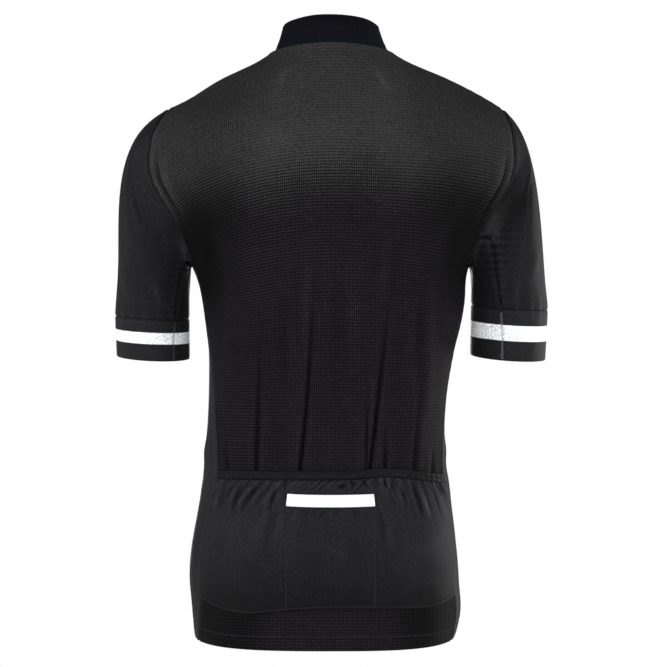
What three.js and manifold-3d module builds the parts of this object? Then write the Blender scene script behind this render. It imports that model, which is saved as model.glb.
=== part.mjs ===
// A short-sleeved cycling jersey with three back pockets and a full-length front zip. It keeps the
// open, filled-out form that it has when it is worn with the arms hanging down.
// Millimetres. +Z is up, -Y the wearer's front and +X the wearer's left. The origin lies midway
// between the two points where the shoulder seams meet the collar.

import * as THREE from 'three';
import { mergeVertices } from 'three/addons/utils/BufferGeometryUtils.js';
import Module from 'manifold-3d';

const wasm = await Module();
wasm.setup();

// Cloth thicknesses, and the gaps that part the pieces
const CLOTH = 1.2;
const CUFF_CLOTH = 1.6;
const COLLAR_CLOTH = 1.8;
const STRIP_CLOTH = 0.5;
const SEAM_GAP = 0.4;
const PATCH_LIFT = 0.9;
const STRIP_LIFT = 0.35;

// The trunk. A row is one level ring: its half widths to the wearer's left and right, its depths to
// the back and front, how far the widest line lies behind the middle, its heights at the sides, the
// centre back and the centre front, and how square the ring is (2 is an ellipse).
// "up" is the length along the cloth from the hem.
const SECTIONS = table(
  ['up', 'left', 'right', 'back', 'front', 'ridge', 'sideZ', 'backZ', 'frontZ', 'square'],
  [0, 162, 146, 104, 104, 0, -709, -709, -709, 3],
  [38, 166, 155, 108, 105, 0, -671, -671, -671, 2.6],
  [78, 169.5, 152.5, 110, 106, 0, -631, -631, -631, 2.4],
  [123, 165.5, 147.5, 108, 107, 0, -586, -586, -586, 2.4],
  [178, 156, 143, 101, 107, 0, -531, -531, -531, 2.4],
  [236, 150, 136.5, 92, 106, 0, -473, -473, -473, 2.4],
  [293, 146, 138, 88, 106, 0, -416, -416, -416, 2.4],
  [351, 145.5, 147.6, 95, 110, 0, -358, -358, -358, 2.4],
  [403, 152, 159, 106, 115, 0, -306, -306, -306, 2.4],
  [451, 167, 165.5, 112, 118, 0, -258, -258, -258, 2.3],
  [493, 203, 198, 115, 119, 1, -205, -216, -226, 2.15],
  [538, 240, 233, 114, 116, 2, -150, -171, -194, 2.1],
  [578, 236, 232, 110, 110, 5, -105, -131, -166, 2.1],
  [613, 208, 214, 103, 103, 8, -80, -96, -140, 2.1],
  [643, 169, 185, 94, 96, 9, -60, -68, -118, 2.1],
  [672, 132, 141, 82, 89, 8, -37, -40, -98, 2.05],
  [696, 89, 93, 71, 82, 4, -16, -15, -79, 2],
  [714, 67, 68, 60, 76, 0, -1, 5, -62, 2],
);
const NECK_UP = 714;

// The stand collar, from the neck seam at rise 0 to its top edge at rise 1
const COLLAR = table(
  ['rise', 'left', 'right', 'back', 'front', 'ridge', 'sideZ', 'backZ', 'frontZ', 'square'],
  [0, 67, 68, 60, 76, 0, -1, 5, -62, 2],
  [0.5, 62, 62, 55, 75.4, 0, 12, 26, -43, 2.1],
  [1, 57.5, 56.5, 47, 75, 0, 28, 37.5, -22, 2.5],
);
const COLLAR_HEIGHT = 32;

// The hem rises towards the sides and again towards the zip; flatness keeps the back's hem level
const HEM_SIDE_RISE = 9;
const HEM_FLATNESS = 6;
const HEM_FRONT_RISE = 16;

// The seams between the back and the side panels, in degrees round from the centre back
const SIDE_SEAMS = table(
  ['up', 'left', 'right'],
  [0, 71, 71],
  [60, 62, 68],
  [110, 61, 71],
  [165, 59, 72],
  [205, 57, 68],
  [270, 65, 80],
  [340, 75, 86],
  [409, 85, 90],
  [451, 91, 91],
);
const FRONT_SEAM_AT_HEM = 112;

// The armhole, a rounded loop round the shoulder. A turn of 0 is its top, 90 the back and 180 the
// underarm. Its reaches to the back and front are in degrees round the trunk.
const ARMHOLE = {
  around: 91,
  up: 538.5,
  halfHeight: 87.5,
  back: { left: 29, right: 24.5 },
  front: { left: 29, right: 29 },
  square: 2.5,
};
const ARMHOLE_TURN = 15;
const UNDERARM_TURN = 180;
const FRONT_SEAM_TURN = 225;
const UNDERARM_UP = ARMHOLE.up - ARMHOLE.halfHeight;
const ARMHOLE_TOP_UP = ARMHOLE.up + ARMHOLE.halfHeight;

// The sleeves below the armhole. "roll" lifts the outer side of a ring, "pitch" drops its back.
// The fullness says how far the cap swings out before it turns down.
const SLEEVES = {
  left: {
    rings: table(
      ['z', 'inner', 'outer', 'centreY', 'halfDepth', 'pitch'],
      [-368, 170, 258, -14, 46, 5],
      [-320, 170, 259, -8, 49, 4],
      [-275, 170, 256, -2, 49, 3],
    ),
    roll: 2,
    topFullness: 1.2,
    cuffSeamZ: -320,
  },
  right: {
    rings: table(
      ['z', 'inner', 'outer', 'centreY', 'halfDepth', 'pitch'],
      [-368, 167.5, 258, -14, 46, 5],
      [-308, 168, 260, -7, 49, 4],
      [-275, 168.5, 257, -2, 49, 3],
    ),
    roll: -3,
    topFullness: 0.78,
    cuffSeamZ: -308,
  },
};
const CAP_END_Z = -275;
const CUFF_END_Z = -368;
const CAP_LENGTHS = [0, 0.08, 0.18, 0.3, 0.44, 0.6, 0.78, 1];
const CAP_FULLNESS = 1.05;
const CAP_LEAD = 8;

// The soft hollows that run up the back from the pocket band: where each starts across the back
// (1 is the left side seam), how far it leans by its top, its half width and its depth.
// The half width of the back turns a distance across it into millimetres.
const BACK_HALF_WIDTH = 145;
const FOLD_BOTTOM_UP = 182;
const FOLD_PEAK_UP = 206;
const BACK_FOLDS = table(
  ['across', 'lean', 'width', 'depth', 'top'],
  [0.9, 0, 8, 2, 300],
  [0.547, 0.03, 9, 3, 330],
  [0.178, -0.05, 9, 3.2, 380],
  [-0.226, -0.17, 10, 3.5, 420],
  [-0.349, -0.02, 8, 2.2, 300],
  [-0.616, -0.03, 9, 2.5, 320],
  [-0.826, 0, 8, 1.8, 270],
);

// The raised roll of cloth beside each armhole
const SHOULDER_BLADE_ROLL = { across: 0.86, width: 14, height: 2.5, bottom: 480, peak: 530, top: 590 };

// The pocket panel, its elastic band and the reflective strip on the middle pocket. The band's
// drop says how much lower it lies across the back, and the strip sags towards its middle.
const BAND = { bottom: 198, top: 209, thickness: 2.2, grooveDepth: 0.8, grooveHalf: 1 };
const BAND_DROP = table(
  ['across', 'drop'],
  [-1, 6],
  [-0.86, 4.4],
  [-0.6, 0.5],
  [-0.33, -3.5],
  [-0.1, -0.5],
  [0.1, 0],
  [1, 0],
);
const POCKET_BOTTOM = table(
  ['across', 'up'],
  [-1, 61],
  [-0.8, 53],
  [-0.57, 48.5],
  [-0.3, 49.5],
  [0, 50],
  [0.25, 46.5],
  [0.44, 42.5],
  [0.65, 45],
  [1, 58],
);
const STRIP = { bottom: 169.5, top: 183.5, left: 51, right: -50, sag: 2.5, halfAcross: 0.36 };
const POCKET_UPS = [187.5, STRIP.top, STRIP.bottom, 150, 128, 105, 80];

// The gathers under the band, pocket by pocket: between which places across (mm, the left is
// positive), how many, how far down they run, how high and how slanting they are. Their heights
// differ by up to twice the unevenness, and they ease out towards the edges of a pocket.
const GATHER_UNEVENNESS = 0.25;
const GATHER_BEAT = 5;
const GATHER_EDGE = 7;
const GATHERS = table(
  ['from', 'to', 'count', 'length', 'height', 'slant'],
  [-146, -51, 9, 50, 1.2, 0.33],
  [-51, 52, 12, 26, 1.7, -1.2],
  [52, 146, 7, 45, 1.3, -0.8],
);

// The zip: its tapes lie between the fronts' edges, its coil between the tapes
const ZIP = {
  frontEdge: 7,
  tapeInner: 2.3,
  tapeOuter: 6.7,
  tapeThickness: 0.9,
  tapeSunk: 0.2,
  coilHalf: 2,
  coilThickness: 2,
  coilProud: 0.4,
  coilTopZ: -27.4,
};
const SLIDER = {
  halfWidth: 4,
  top: -25,
  bottom: -38,
  front: { from: -77.8, to: -76.1 },
  rear: { from: -73.1, to: -71.8 },
  bridgeBottom: -27,
  bridgeHalf: 1.5,
  crownHalf: 0.75,
  crownOut: -81.6,
  crownIn: -80.6,
  crownTop: -28.5,
  crownBottom: -35.5,
  crownPost: 1,
};
const PULL = {
  pinY: -79.2,
  pinZ: -33.1,
  thickness: 1.4,
  eyeHalf: 1.6,
  eyeLength: 6.8,
  halfWidth: 3.25,
  length: 25,
};

// How many strips each grid is cut into. The rows between the armholes fan out towards the middle
// of a panel, so that none runs along the armhole's own line.
const ROW_FAN = 28;
const BACK_COLUMNS = 40;
const LOWER_UPS = [0, 30, 60, 85, 108, 130, 150, 170, 188, 206, 228, 258, 290, 325, 360, 395, 425, 451];
const SHOULDER_ROWS = 3;
const FRONT_COLUMNS = 8;
const SLEEVE_ROWS_BELOW_CAP = 2;
const CUFF_ROWS = 3;
const COLLAR_COLUMNS = 36;
const COLLAR_ROWS = 3;
const POCKET_COLUMNS = 88;
const BAND_COLUMNS = 40;
const BAND_ROWS = 4;
const TAB_ARC_STEPS = 10;

// The short steps over which a surface's slope is taken
const HALF_DEGREE = 0.5;
const HALF_MILLIMETRE = 0.5;
const SMALL_SHARE = 0.01;

const FINISHES = {
  meshKnit: { color: 0x343235, roughness: 0.85, metalness: 0 },
  smoothKnit: { color: 0x272628, roughness: 0.8, metalness: 0 },
  collarKnit: { color: 0x141419, roughness: 0.85, metalness: 0 },
  pocketKnit: { color: 0x262527, roughness: 0.8, metalness: 0 },
  cuffBand: { color: 0x2a292b, roughness: 0.75, metalness: 0 },
  reflective: { color: 0xeceff1, roughness: 0.5, metalness: 0 },
  zipTape: { color: 0x1a1a1c, roughness: 0.8, metalness: 0 },
  zipCoil: { color: 0x161618, roughness: 0.45, metalness: 0 },
  zipMetal: { color: 0x2c2c2e, roughness: 0.4, metalness: 0.6 },
};

// Small tools

function table(columns, ...rows) {
  return rows.map((row) => Object.fromEntries(columns.map((column, i) => [column, row[i]])));
}

function mix(from, to, part) {
  return from + (to - from) * part;
}

function signedPower(value, power) {
  return Math.sign(value) * Math.abs(value) ** power;
}

function steps(count) {
  return Array.from({ length: count + 1 }, (_, i) => i / count);
}

// 1 at the peak, falling smoothly to 0 at both ends
function hump(at, bottom, peak, top) {
  const part = at < peak ? (at - bottom) / (peak - bottom) : (top - at) / (top - peak);
  return part <= 0 ? 0 : Math.sin((part * Math.PI) / 2) ** 2;
}

// A smooth curve through one column of a table
function smooth(rows, along, key) {
  const slope = rows.map((row, i) => {
    const before = rows[Math.max(i - 1, 0)];
    const after = rows[Math.min(i + 1, rows.length - 1)];
    return (after[key] - before[key]) / (after[along] - before[along]);
  });
  return (at) => {
    const place = THREE.MathUtils.clamp(at, rows[0][along], rows[rows.length - 1][along]);
    const next = Math.max(rows.findIndex((row) => row[along] >= place), 1);
    const [a, b] = [rows[next - 1], rows[next]];
    const span = b[along] - a[along];
    const t = (place - a[along]) / span;
    return a[key] * (1 + 2 * t) * (1 - t) ** 2 + b[key] * t ** 2 * (3 - 2 * t)
      + span * (slope[next - 1] * t * (1 - t) ** 2 - slope[next] * t ** 2 * (1 - t));
  };
}

// All columns of a table as one function that gives a row at any place
function smoothRows(rows, along) {
  const keys = Object.keys(rows[0]).filter((key) => key !== along);
  const curves = keys.map((key) => smooth(rows, along, key));
  return (at) => Object.fromEntries(keys.map((key, i) => [key, curves[i](at)]));
}

// The forms that the pieces are cut from

const trunkRing = smoothRows(SECTIONS, 'up');
const collarRing = smoothRows(COLLAR, 'rise');
const sideSeam = smoothRows(SIDE_SEAMS, 'up');
const pocketBottom = smooth(POCKET_BOTTOM, 'across', 'up');
const bandDrop = smooth(BAND_DROP, 'across', 'drop');
const sleeveRing = {
  left: smoothRows(SLEEVES.left.rings, 'z'),
  right: smoothRows(SLEEVES.right.rings, 'z'),
};
const SIGN = { left: 1, right: -1 };

// A point of a ring, by its degrees round from the centre back; the wearer's left is positive
function ringPoint(ring, around) {
  const sine = Math.sin(THREE.MathUtils.degToRad(around));
  const cosine = Math.cos(THREE.MathUtils.degToRad(around));
  const reach = sine >= 0 ? ring.left : ring.right;
  const depth = cosine >= 0 ? ring.back - ring.ridge : ring.front + ring.ridge;
  const middleZ = cosine >= 0 ? ring.backZ : ring.frontZ;
  return new THREE.Vector3(
    reach * signedPower(sine, 2 / ring.square),
    ring.ridge + depth * signedPower(cosine, 2 / ring.square),
    ring.sideZ * sine ** 2 + middleZ * cosine ** 2,
  );
}

// Where a ring passes a distance from the middle of the front, in degrees round
function frontAround(ring, side, distance) {
  const sine = (distance / ring[side]) ** (ring.square / 2);
  return 180 - THREE.MathUtils.radToDeg(Math.asin(sine));
}

function trunkPoint(up, around) {
  return ringPoint(trunkRing(up), around);
}

function collarPoint(rise, around) {
  return ringPoint(collarRing(rise), around);
}

// The outward normal of a surface, from short steps to both sides along its two directions
function outward(surface, first, second, firstStep, secondStep) {
  const along = surface(first + firstStep, second).sub(surface(first - firstStep, second));
  const across = surface(first, second + secondStep).sub(surface(first, second - secondStep));
  return along.cross(across).normalize();
}

function trunkNormal(up, around) {
  return outward(trunkPoint, up, around, HALF_MILLIMETRE, HALF_DEGREE);
}

function collarNormal(rise, around) {
  return outward(collarPoint, rise, around, SMALL_SHARE, HALF_DEGREE);
}

function hemUp(around) {
  const sine = Math.sin(THREE.MathUtils.degToRad(around));
  const cosine = Math.cos(THREE.MathUtils.degToRad(around));
  const frontRise = cosine < 0 ? HEM_FRONT_RISE * cosine ** 2 : 0;
  return HEM_SIDE_RISE * sine ** HEM_FLATNESS + frontRise;
}

// Moves a place round the trunk, away from the centre back, by a length in millimetres
function aside(side, place, length) {
  const here = trunkPoint(place.up, SIGN[side] * place.around);
  const there = trunkPoint(place.up, SIGN[side] * (place.around + 1));
  return { up: place.up, around: place.around + length / here.distanceTo(there) };
}

// A place on the armhole's line; a positive growth lies outside the armhole
function armhole(side, turn, growth) {
  const sine = signedPower(Math.sin(THREE.MathUtils.degToRad(turn)), 2 / ARMHOLE.square);
  const cosine = signedPower(Math.cos(THREE.MathUtils.degToRad(turn)), 2 / ARMHOLE.square);
  const reach = sine > 0 ? ARMHOLE.back[side] : ARMHOLE.front[side];
  const line = { up: ARMHOLE.up + cosine * ARMHOLE.halfHeight, around: ARMHOLE.around - sine * reach };
  const wider = aside(side, line, -sine * growth);
  return { up: line.up + cosine * growth, around: wider.around };
}

// A sleeve's point: run 0 to 1 is the cap from the armhole down, 1 to 2 the tube below it
function sleevePoint(side, run, turn) {
  if (run >= 1) {
    return armRingPoint(side, mix(CAP_END_Z, CUFF_END_Z, run - 1), turn);
  }
  const start = armhole(side, turn, -SEAM_GAP / 2);
  const before = armhole(side, turn, CAP_LEAD);
  const from = trunkPoint(start.up, SIGN[side] * start.around);
  const to = armRingPoint(side, CAP_END_Z, turn);
  const chord = from.distanceTo(to);
  const atTop = Math.max(Math.cos(THREE.MathUtils.degToRad(turn)), 0);
  const fullness = mix(CAP_FULLNESS, SLEEVES[side].topFullness, atTop);
  const leave = from.clone().sub(trunkPoint(before.up, SIGN[side] * before.around))
    .setLength(chord * fullness);
  const arrive = armRingPoint(side, CAP_END_Z - 1, turn).sub(to)
    .setLength(chord * CAP_FULLNESS);
  return from.multiplyScalar((1 + 2 * run) * (1 - run) ** 2)
    .addScaledVector(leave, run * (1 - run) ** 2)
    .addScaledVector(to, run ** 2 * (3 - 2 * run))
    .addScaledVector(arrive, -(run ** 2) * (1 - run));
}

function armRingPoint(side, z, turn) {
  const ring = sleeveRing[side](z);
  const sine = Math.sin(THREE.MathUtils.degToRad(turn));
  const cosine = Math.cos(THREE.MathUtils.degToRad(turn));
  const middle = (ring.inner + ring.outer) / 2;
  const halfWidth = (ring.outer - ring.inner) / 2;
  return new THREE.Vector3(
    SIGN[side] * (middle + halfWidth * cosine),
    ring.centreY + ring.halfDepth * sine,
    z + SLEEVES[side].roll * cosine - ring.pitch * sine,
  );
}

function sleeveNormal(side, run, turn) {
  if (run === 0) {
    const start = armhole(side, turn, -SEAM_GAP / 2);
    return trunkNormal(start.up, SIGN[side] * start.around);
  }
  const surface = (first, second) => sleevePoint(side, first, second);
  return outward(surface, run, turn, SMALL_SHARE, HALF_DEGREE).multiplyScalar(SIGN[side]);
}

// A closed wall between a grid of outer points and the same points moved in along their normals.
// The rows' direction crossed with the columns' direction points outward. A row that closes on
// itself gives a tube.

function wall(grid, thickness, isTube = false) {
  const rows = grid.length;
  const columns = grid[0].length;
  const lastColumn = isTube ? columns : columns - 1;
  const inner = grid.map((row) => row.map(({ point, normal }) => (
    point.clone().addScaledVector(normal, -thickness))));
  const positions = [];
  const push = (...corners) => corners.forEach((corner) => positions.push(corner.x, corner.y, corner.z));
  const quad = (a, b, c, d) => push(a, b, c, a, c, d);
  const out = (i, j) => grid[i][j % columns].point;
  const inn = (i, j) => inner[i][j % columns];
  for (let i = 0; i < rows - 1; i += 1) {
    for (let j = 0; j < lastColumn; j += 1) {
      quad(out(i, j), out(i + 1, j), out(i + 1, j + 1), out(i, j + 1));
      quad(inn(i, j), inn(i, j + 1), inn(i + 1, j + 1), inn(i + 1, j));
    }
  }
  for (let j = 0; j < lastColumn; j += 1) {
    quad(out(0, j), out(0, j + 1), inn(0, j + 1), inn(0, j));
    quad(out(rows - 1, j + 1), out(rows - 1, j), inn(rows - 1, j), inn(rows - 1, j + 1));
  }
  // Both side edges are split the same way, so that edges that meet at a seam stay parallel
  if (!isTube) {
    for (let i = 0; i < rows - 1; i += 1) {
      quad(out(i + 1, 0), out(i, 0), inn(i, 0), inn(i + 1, 0));
      quad(out(i + 1, lastColumn), inn(i + 1, lastColumn), inn(i, lastColumn), out(i, lastColumn));
    }
  }
  const geometry = new THREE.BufferGeometry();
  geometry.setAttribute('position', new THREE.Float32BufferAttribute(positions, 3));
  return geometry;
}

// A wall that lies on the trunk's form, from rows of places; relief lifts or sinks its cloth
function trunkWall(placeRows, thickness, relief = () => 0) {
  return wall(placeRows.map((row) => row.map((place) => {
    const normal = trunkNormal(place.up, place.around);
    const point = trunkPoint(place.up, place.around).addScaledVector(normal, relief(place));
    return { point, normal };
  })), thickness);
}

// A row on one side is laid out away from the centre back, and turned to run to the wearer's left
function towardsLeft(side, row) {
  const signed = row.map((place) => ({ ...place, around: SIGN[side] * place.around }));
  return side === 'left' ? signed : signed.reverse();
}

// The trunk's panels

const LOWER_PARTS = LOWER_UPS.map((up) => up / LOWER_UPS[LOWER_UPS.length - 1]);

// The rows that the panels share: how far each lies up the middle of a panel, and where it ends at
// the side seam, the armhole or the shoulder seam
function panelRows(side, seamBelow, turns, gap) {
  const corner = armhole(side, turns[0], SEAM_GAP / 2);
  const lower = LOWER_PARTS.slice(0, -1).map((part) => {
    const line = seamBelow(part, corner);
    return { middle: part * (corner.up - ROW_FAN), end: aside(side, line, gap), part };
  });
  const beside = turns.map((turn, i) => {
    const line = armhole(side, turn, SEAM_GAP / 2);
    const atCorner = i === 0 || i === turns.length - 1;
    const middle = mix(corner.up - ROW_FAN, ARMHOLE_TOP_UP + ROW_FAN, i / (turns.length - 1));
    return { middle, end: aside(side, line, atCorner ? gap : 0), part: 1 };
  });
  const top = NECK_UP - SEAM_GAP / 2;
  const above = steps(SHOULDER_ROWS).slice(1).map((part) => {
    const end = { up: mix(ARMHOLE_TOP_UP, top, part), around: ARMHOLE.around };
    return { middle: mix(ARMHOLE_TOP_UP + ROW_FAN, top, part), end: aside(side, end, gap), part: 1 };
  });
  return [...lower, ...beside, ...above];
}

function turnsBetween(from, to) {
  const count = Math.round(Math.abs(to - from) / ARMHOLE_TURN);
  return steps(count).map((part) => mix(from, to, part));
}

function backSeamPlace(side, part) {
  const hem = hemUp(SIDE_SEAMS[0][side]);
  const up = mix(hem, UNDERARM_UP, part);
  return { up, around: sideSeam(up)[side] };
}

function frontSeamPlace(part, corner) {
  const around = mix(FRONT_SEAM_AT_HEM, corner.around, part);
  return { up: mix(hemUp(around), corner.up, part), around };
}

function foldDepth(place) {
  const depth = BACK_FOLDS.reduce((sum, fold) => {
    const climbed = (place.up - FOLD_PEAK_UP) / (fold.top - FOLD_PEAK_UP);
    const off = (place.across - fold.across - fold.lean * climbed) * BACK_HALF_WIDTH;
    const share = hump(place.up, FOLD_BOTTOM_UP, FOLD_PEAK_UP, fold.top);
    return sum - fold.depth * share * Math.exp(-((off / fold.width) ** 2));
  }, 0);
  const roll = SHOULDER_BLADE_ROLL;
  const off = (Math.abs(place.across) - roll.across) * BACK_HALF_WIDTH;
  const share = hump(place.up, roll.bottom, roll.peak, roll.top);
  return depth + roll.height * share * Math.exp(-((off / roll.width) ** 2));
}

function backPanel() {
  const turns = turnsBetween(UNDERARM_TURN, 0);
  const rowsOf = (side) => panelRows(side, (part) => backSeamPlace(side, part), turns, -SEAM_GAP / 2);
  const left = rowsOf('left');
  const right = rowsOf('right');
  const places = left.map(({ middle }, i) => steps(BACK_COLUMNS).map((part) => {
    const across = mix(-1, 1, part);
    const { end } = across < 0 ? right[i] : left[i];
    return { up: mix(middle, end.up, across ** 2), around: across * end.around, across };
  }));
  return trunkWall(places, CLOTH, foldDepth);
}

function frontPanel(side) {
  const turns = turnsBetween(FRONT_SEAM_TURN, 360);
  const rows = panelRows(side, frontSeamPlace, turns, SEAM_GAP / 2);
  const places = rows.map(({ middle, end, part: climbed }) => {
    const zipUp = middle + HEM_FRONT_RISE * (1 - climbed);
    const zipAround = frontAround(trunkRing(zipUp), side, ZIP.frontEdge);
    return towardsLeft(side, steps(FRONT_COLUMNS).map((part) => (
      { up: mix(end.up, zipUp, 1 - (1 - part) ** 2), around: mix(end.around, zipAround, part) })));
  });
  return trunkWall(places, CLOTH);
}

function sidePanel(side) {
  const corner = armhole(side, FRONT_SEAM_TURN, SEAM_GAP / 2);
  const tops = turnsBetween(UNDERARM_TURN, FRONT_SEAM_TURN).map((turn) => (
    armhole(side, turn, SEAM_GAP / 2)));
  const places = LOWER_PARTS.map((part) => {
    const back = aside(side, backSeamPlace(side, part), SEAM_GAP / 2);
    const front = aside(side, frontSeamPlace(part, corner), -SEAM_GAP / 2);
    return towardsLeft(side, tops.map((top) => {
      const share = (top.around - tops[0].around) / (corner.around - tops[0].around);
      const around = mix(back.around, front.around, share);
      return { up: mix(hemUp(around), top.up, part), around };
    }));
  });
  return trunkWall(places, CLOTH);
}

// The sleeves and their cuff bands

function sleeveWall(side, runs, thickness) {
  const turns = turnsBetween(0, 360).slice(0, -1);
  return wall(runs.map((run) => {
    const row = turns.map((turn) => (
      { point: sleevePoint(side, run, turn), normal: sleeveNormal(side, run, turn) }));
    return side === 'left' ? row : row.reverse();
  }), thickness, true);
}

function runAt(z) {
  return 1 + (CAP_END_Z - z) / (CAP_END_Z - CUFF_END_Z);
}

function sleeve(side) {
  const end = runAt(SLEEVES[side].cuffSeamZ + SEAM_GAP / 2);
  const below = steps(SLEEVE_ROWS_BELOW_CAP).slice(1).map((part) => mix(1, end, part));
  return sleeveWall(side, [...CAP_LENGTHS, ...below], CLOTH);
}

function cuff(side) {
  const start = runAt(SLEEVES[side].cuffSeamZ - SEAM_GAP / 2);
  return sleeveWall(side, steps(CUFF_ROWS).map((part) => mix(start, 2, part)), CUFF_CLOTH);
}

function collar() {
  const start = SEAM_GAP / COLLAR_HEIGHT;
  return wall(steps(COLLAR_ROWS).map((part) => {
    const rise = mix(start, 1, part);
    const ring = collarRing(rise);
    const right = -frontAround(ring, 'right', ZIP.frontEdge);
    const left = frontAround(ring, 'left', ZIP.frontEdge);
    return steps(COLLAR_COLUMNS).map((share) => {
      const around = mix(right, left, share);
      return { point: collarPoint(rise, around), normal: collarNormal(rise, around) };
    });
  }), COLLAR_CLOTH);
}

// What lies on the back panel

function backPlace(across, up) {
  const side = across < 0 ? 'right' : 'left';
  const seam = aside(side, { up, around: sideSeam(up)[side] }, -SEAM_GAP / 2);
  return { up, around: across * seam.around, across };
}

function pocketTop(across) {
  return BAND.bottom - bandDrop(across) - SEAM_GAP;
}

function stripSag(across) {
  return STRIP.sag * Math.max(1 - (across / STRIP.halfAcross) ** 2, 0);
}

function gatherHeight(place) {
  const { x } = trunkPoint(place.up, place.around);
  const drop = pocketTop(place.across) - place.up;
  return GATHERS.reduce((sum, gather) => {
    const inside = THREE.MathUtils.clamp(Math.min(x - gather.from, gather.to - x) / GATHER_EDGE, 0, 1);
    const turns = (gather.count * (x + gather.slant * drop - gather.from)) / (gather.to - gather.from);
    const wave = 0.5 - 0.5 * Math.cos(2 * Math.PI * turns);
    const uneven = 1 - GATHER_UNEVENNESS * (1 - Math.sin(GATHER_BEAT * turns));
    return sum + gather.height * wave * uneven * inside * Math.exp(-2 * (drop / gather.length) ** 2);
  }, 0);
}

const POCKET_LIFT = PATCH_LIFT + CLOTH;

function pocketPanel() {
  const acrossAt = steps(POCKET_COLUMNS).map((part) => mix(-1, 1, part));
  const rows = [
    acrossAt.map((across) => backPlace(across, pocketTop(across))),
    ...POCKET_UPS.map((up) => acrossAt.map((across) => backPlace(across, up - stripSag(across)))),
    acrossAt.map((across) => backPlace(across, pocketBottom(across))),
  ];
  return trunkWall(rows.reverse(), CLOTH, (place) => POCKET_LIFT + gatherHeight(place));
}

function pocketBand() {
  const ups = steps(BAND_ROWS).map((part) => mix(BAND.bottom, BAND.top, part));
  const rows = ups.map((up) => steps(BAND_COLUMNS).map((part) => {
    const across = mix(-1, 1, part);
    return { ...backPlace(across, up - bandDrop(across)), level: up };
  }));
  const middle = (BAND.bottom + BAND.top) / 2;
  return trunkWall(rows, BAND.thickness - BAND.grooveDepth, (place) => {
    const inGroove = Math.abs(place.level - middle) < BAND.grooveHalf;
    return PATCH_LIFT + BAND.thickness - (inGroove ? BAND.grooveDepth : 0);
  });
}

function reflectiveStrip() {
  const acrossAt = steps(POCKET_COLUMNS).map((part) => mix(-1, 1, part));
  const rows = [STRIP.bottom, STRIP.top].map((up) => acrossAt
    .filter((across) => {
      const { x } = trunkPoint(STRIP.top, backPlace(across, STRIP.top).around);
      return x > STRIP.right && x < STRIP.left;
    })
    .map((across) => backPlace(across, up - stripSag(across))));
  const lift = POCKET_LIFT + STRIP_LIFT + STRIP_CLOTH;
  return trunkWall(rows, STRIP_CLOTH, (place) => lift + gatherHeight(place));
}

// The zip

// The line up the middle of the front, from the hem to the collar's top edge
function zipLine() {
  const rows = panelRows('left', frontSeamPlace, turnsBetween(FRONT_SEAM_TURN, 360), 0);
  const onTrunk = rows.map(({ middle, part }) => {
    const up = middle + HEM_FRONT_RISE * (1 - part);
    return { point: trunkPoint(up, 180), normal: trunkNormal(up, 180) };
  });
  const onCollar = steps(COLLAR_ROWS).slice(1).map((rise) => (
    { point: collarPoint(rise, 180), normal: collarNormal(rise, 180) }));
  return [...onTrunk, ...onCollar];
}

// A ribbon along that line; the columns run to the wearer's left seen from behind
function zipRibbon(stations, xs, lifts, thickness) {
  return wall(stations.map(({ point, normal }) => xs.map((x, i) => {
    const level = new THREE.Vector3(0, normal.y, normal.z).normalize();
    const moved = new THREE.Vector3(x, point.y, point.z).addScaledVector(level, lifts[i]);
    return { point: moved, normal: level };
  })), thickness);
}

function zipTape(side) {
  const xs = [SIGN[side] * ZIP.tapeInner, SIGN[side] * ZIP.tapeOuter].sort((a, b) => b - a);
  return zipRibbon(zipLine(), xs, [-ZIP.tapeSunk, -ZIP.tapeSunk], ZIP.tapeThickness);
}

function zipCoil() {
  const line = zipLine();
  const last = line.length - 1;
  const [below, end] = [line[last - 1].point, line[last].point];
  const part = (ZIP.coilTopZ - below.z) / (end.z - below.z);
  const stations = [...line.slice(0, last), { point: below.clone().lerp(end, part), normal: line[last].normal }];
  const shoulder = ZIP.coilProud / 2;
  return zipRibbon(stations, [ZIP.coilHalf, 0, -ZIP.coilHalf], [shoulder, ZIP.coilProud, shoulder],
    ZIP.coilThickness);
}

function box(x0, x1, y0, y1, z0, z1) {
  const geometry = new THREE.BoxGeometry(x1 - x0, y1 - y0, z1 - z0);
  return geometry.translate((x0 + x1) / 2, (y0 + y1) / 2, (z0 + z1) / 2);
}

function toManifold(geometry) {
  geometry.deleteAttribute('normal');
  geometry.deleteAttribute('uv');
  const merged = mergeVertices(geometry);
  return new wasm.Manifold(new wasm.Mesh({
    numProp: 3,
    vertProperties: Float32Array.from(merged.attributes.position.array),
    triVerts: Uint32Array.from(merged.index.array),
  }));
}

function joined(geometries) {
  const mesh = geometries.map(toManifold).reduce((sum, piece) => sum.add(piece)).getMesh();
  const geometry = new THREE.BufferGeometry();
  geometry.setAttribute('position', new THREE.Float32BufferAttribute(mesh.vertProperties, 3));
  geometry.setIndex(new THREE.Uint32BufferAttribute(mesh.triVerts, 1));
  return geometry;
}

// Two plates joined by a bridge above the coil, and a crown in front that holds the pull
function zipSlider() {
  const s = SLIDER;
  return joined([
    box(-s.halfWidth, s.halfWidth, s.front.from, s.front.to, s.bottom, s.top),
    box(-s.halfWidth, s.halfWidth, s.rear.from, s.rear.to, s.bottom, s.top),
    box(-s.bridgeHalf, s.bridgeHalf, s.front.from, s.rear.to, s.bridgeBottom, s.top),
    box(-s.crownHalf, s.crownHalf, s.crownOut, s.crownIn, s.crownBottom, s.crownTop),
    box(-s.crownHalf, s.crownHalf, s.crownOut, s.front.to, s.crownTop - s.crownPost, s.crownTop),
    box(-s.crownHalf, s.crownHalf, s.crownOut, s.front.to, s.crownBottom, s.crownBottom + s.crownPost),
  ]);
}

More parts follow.
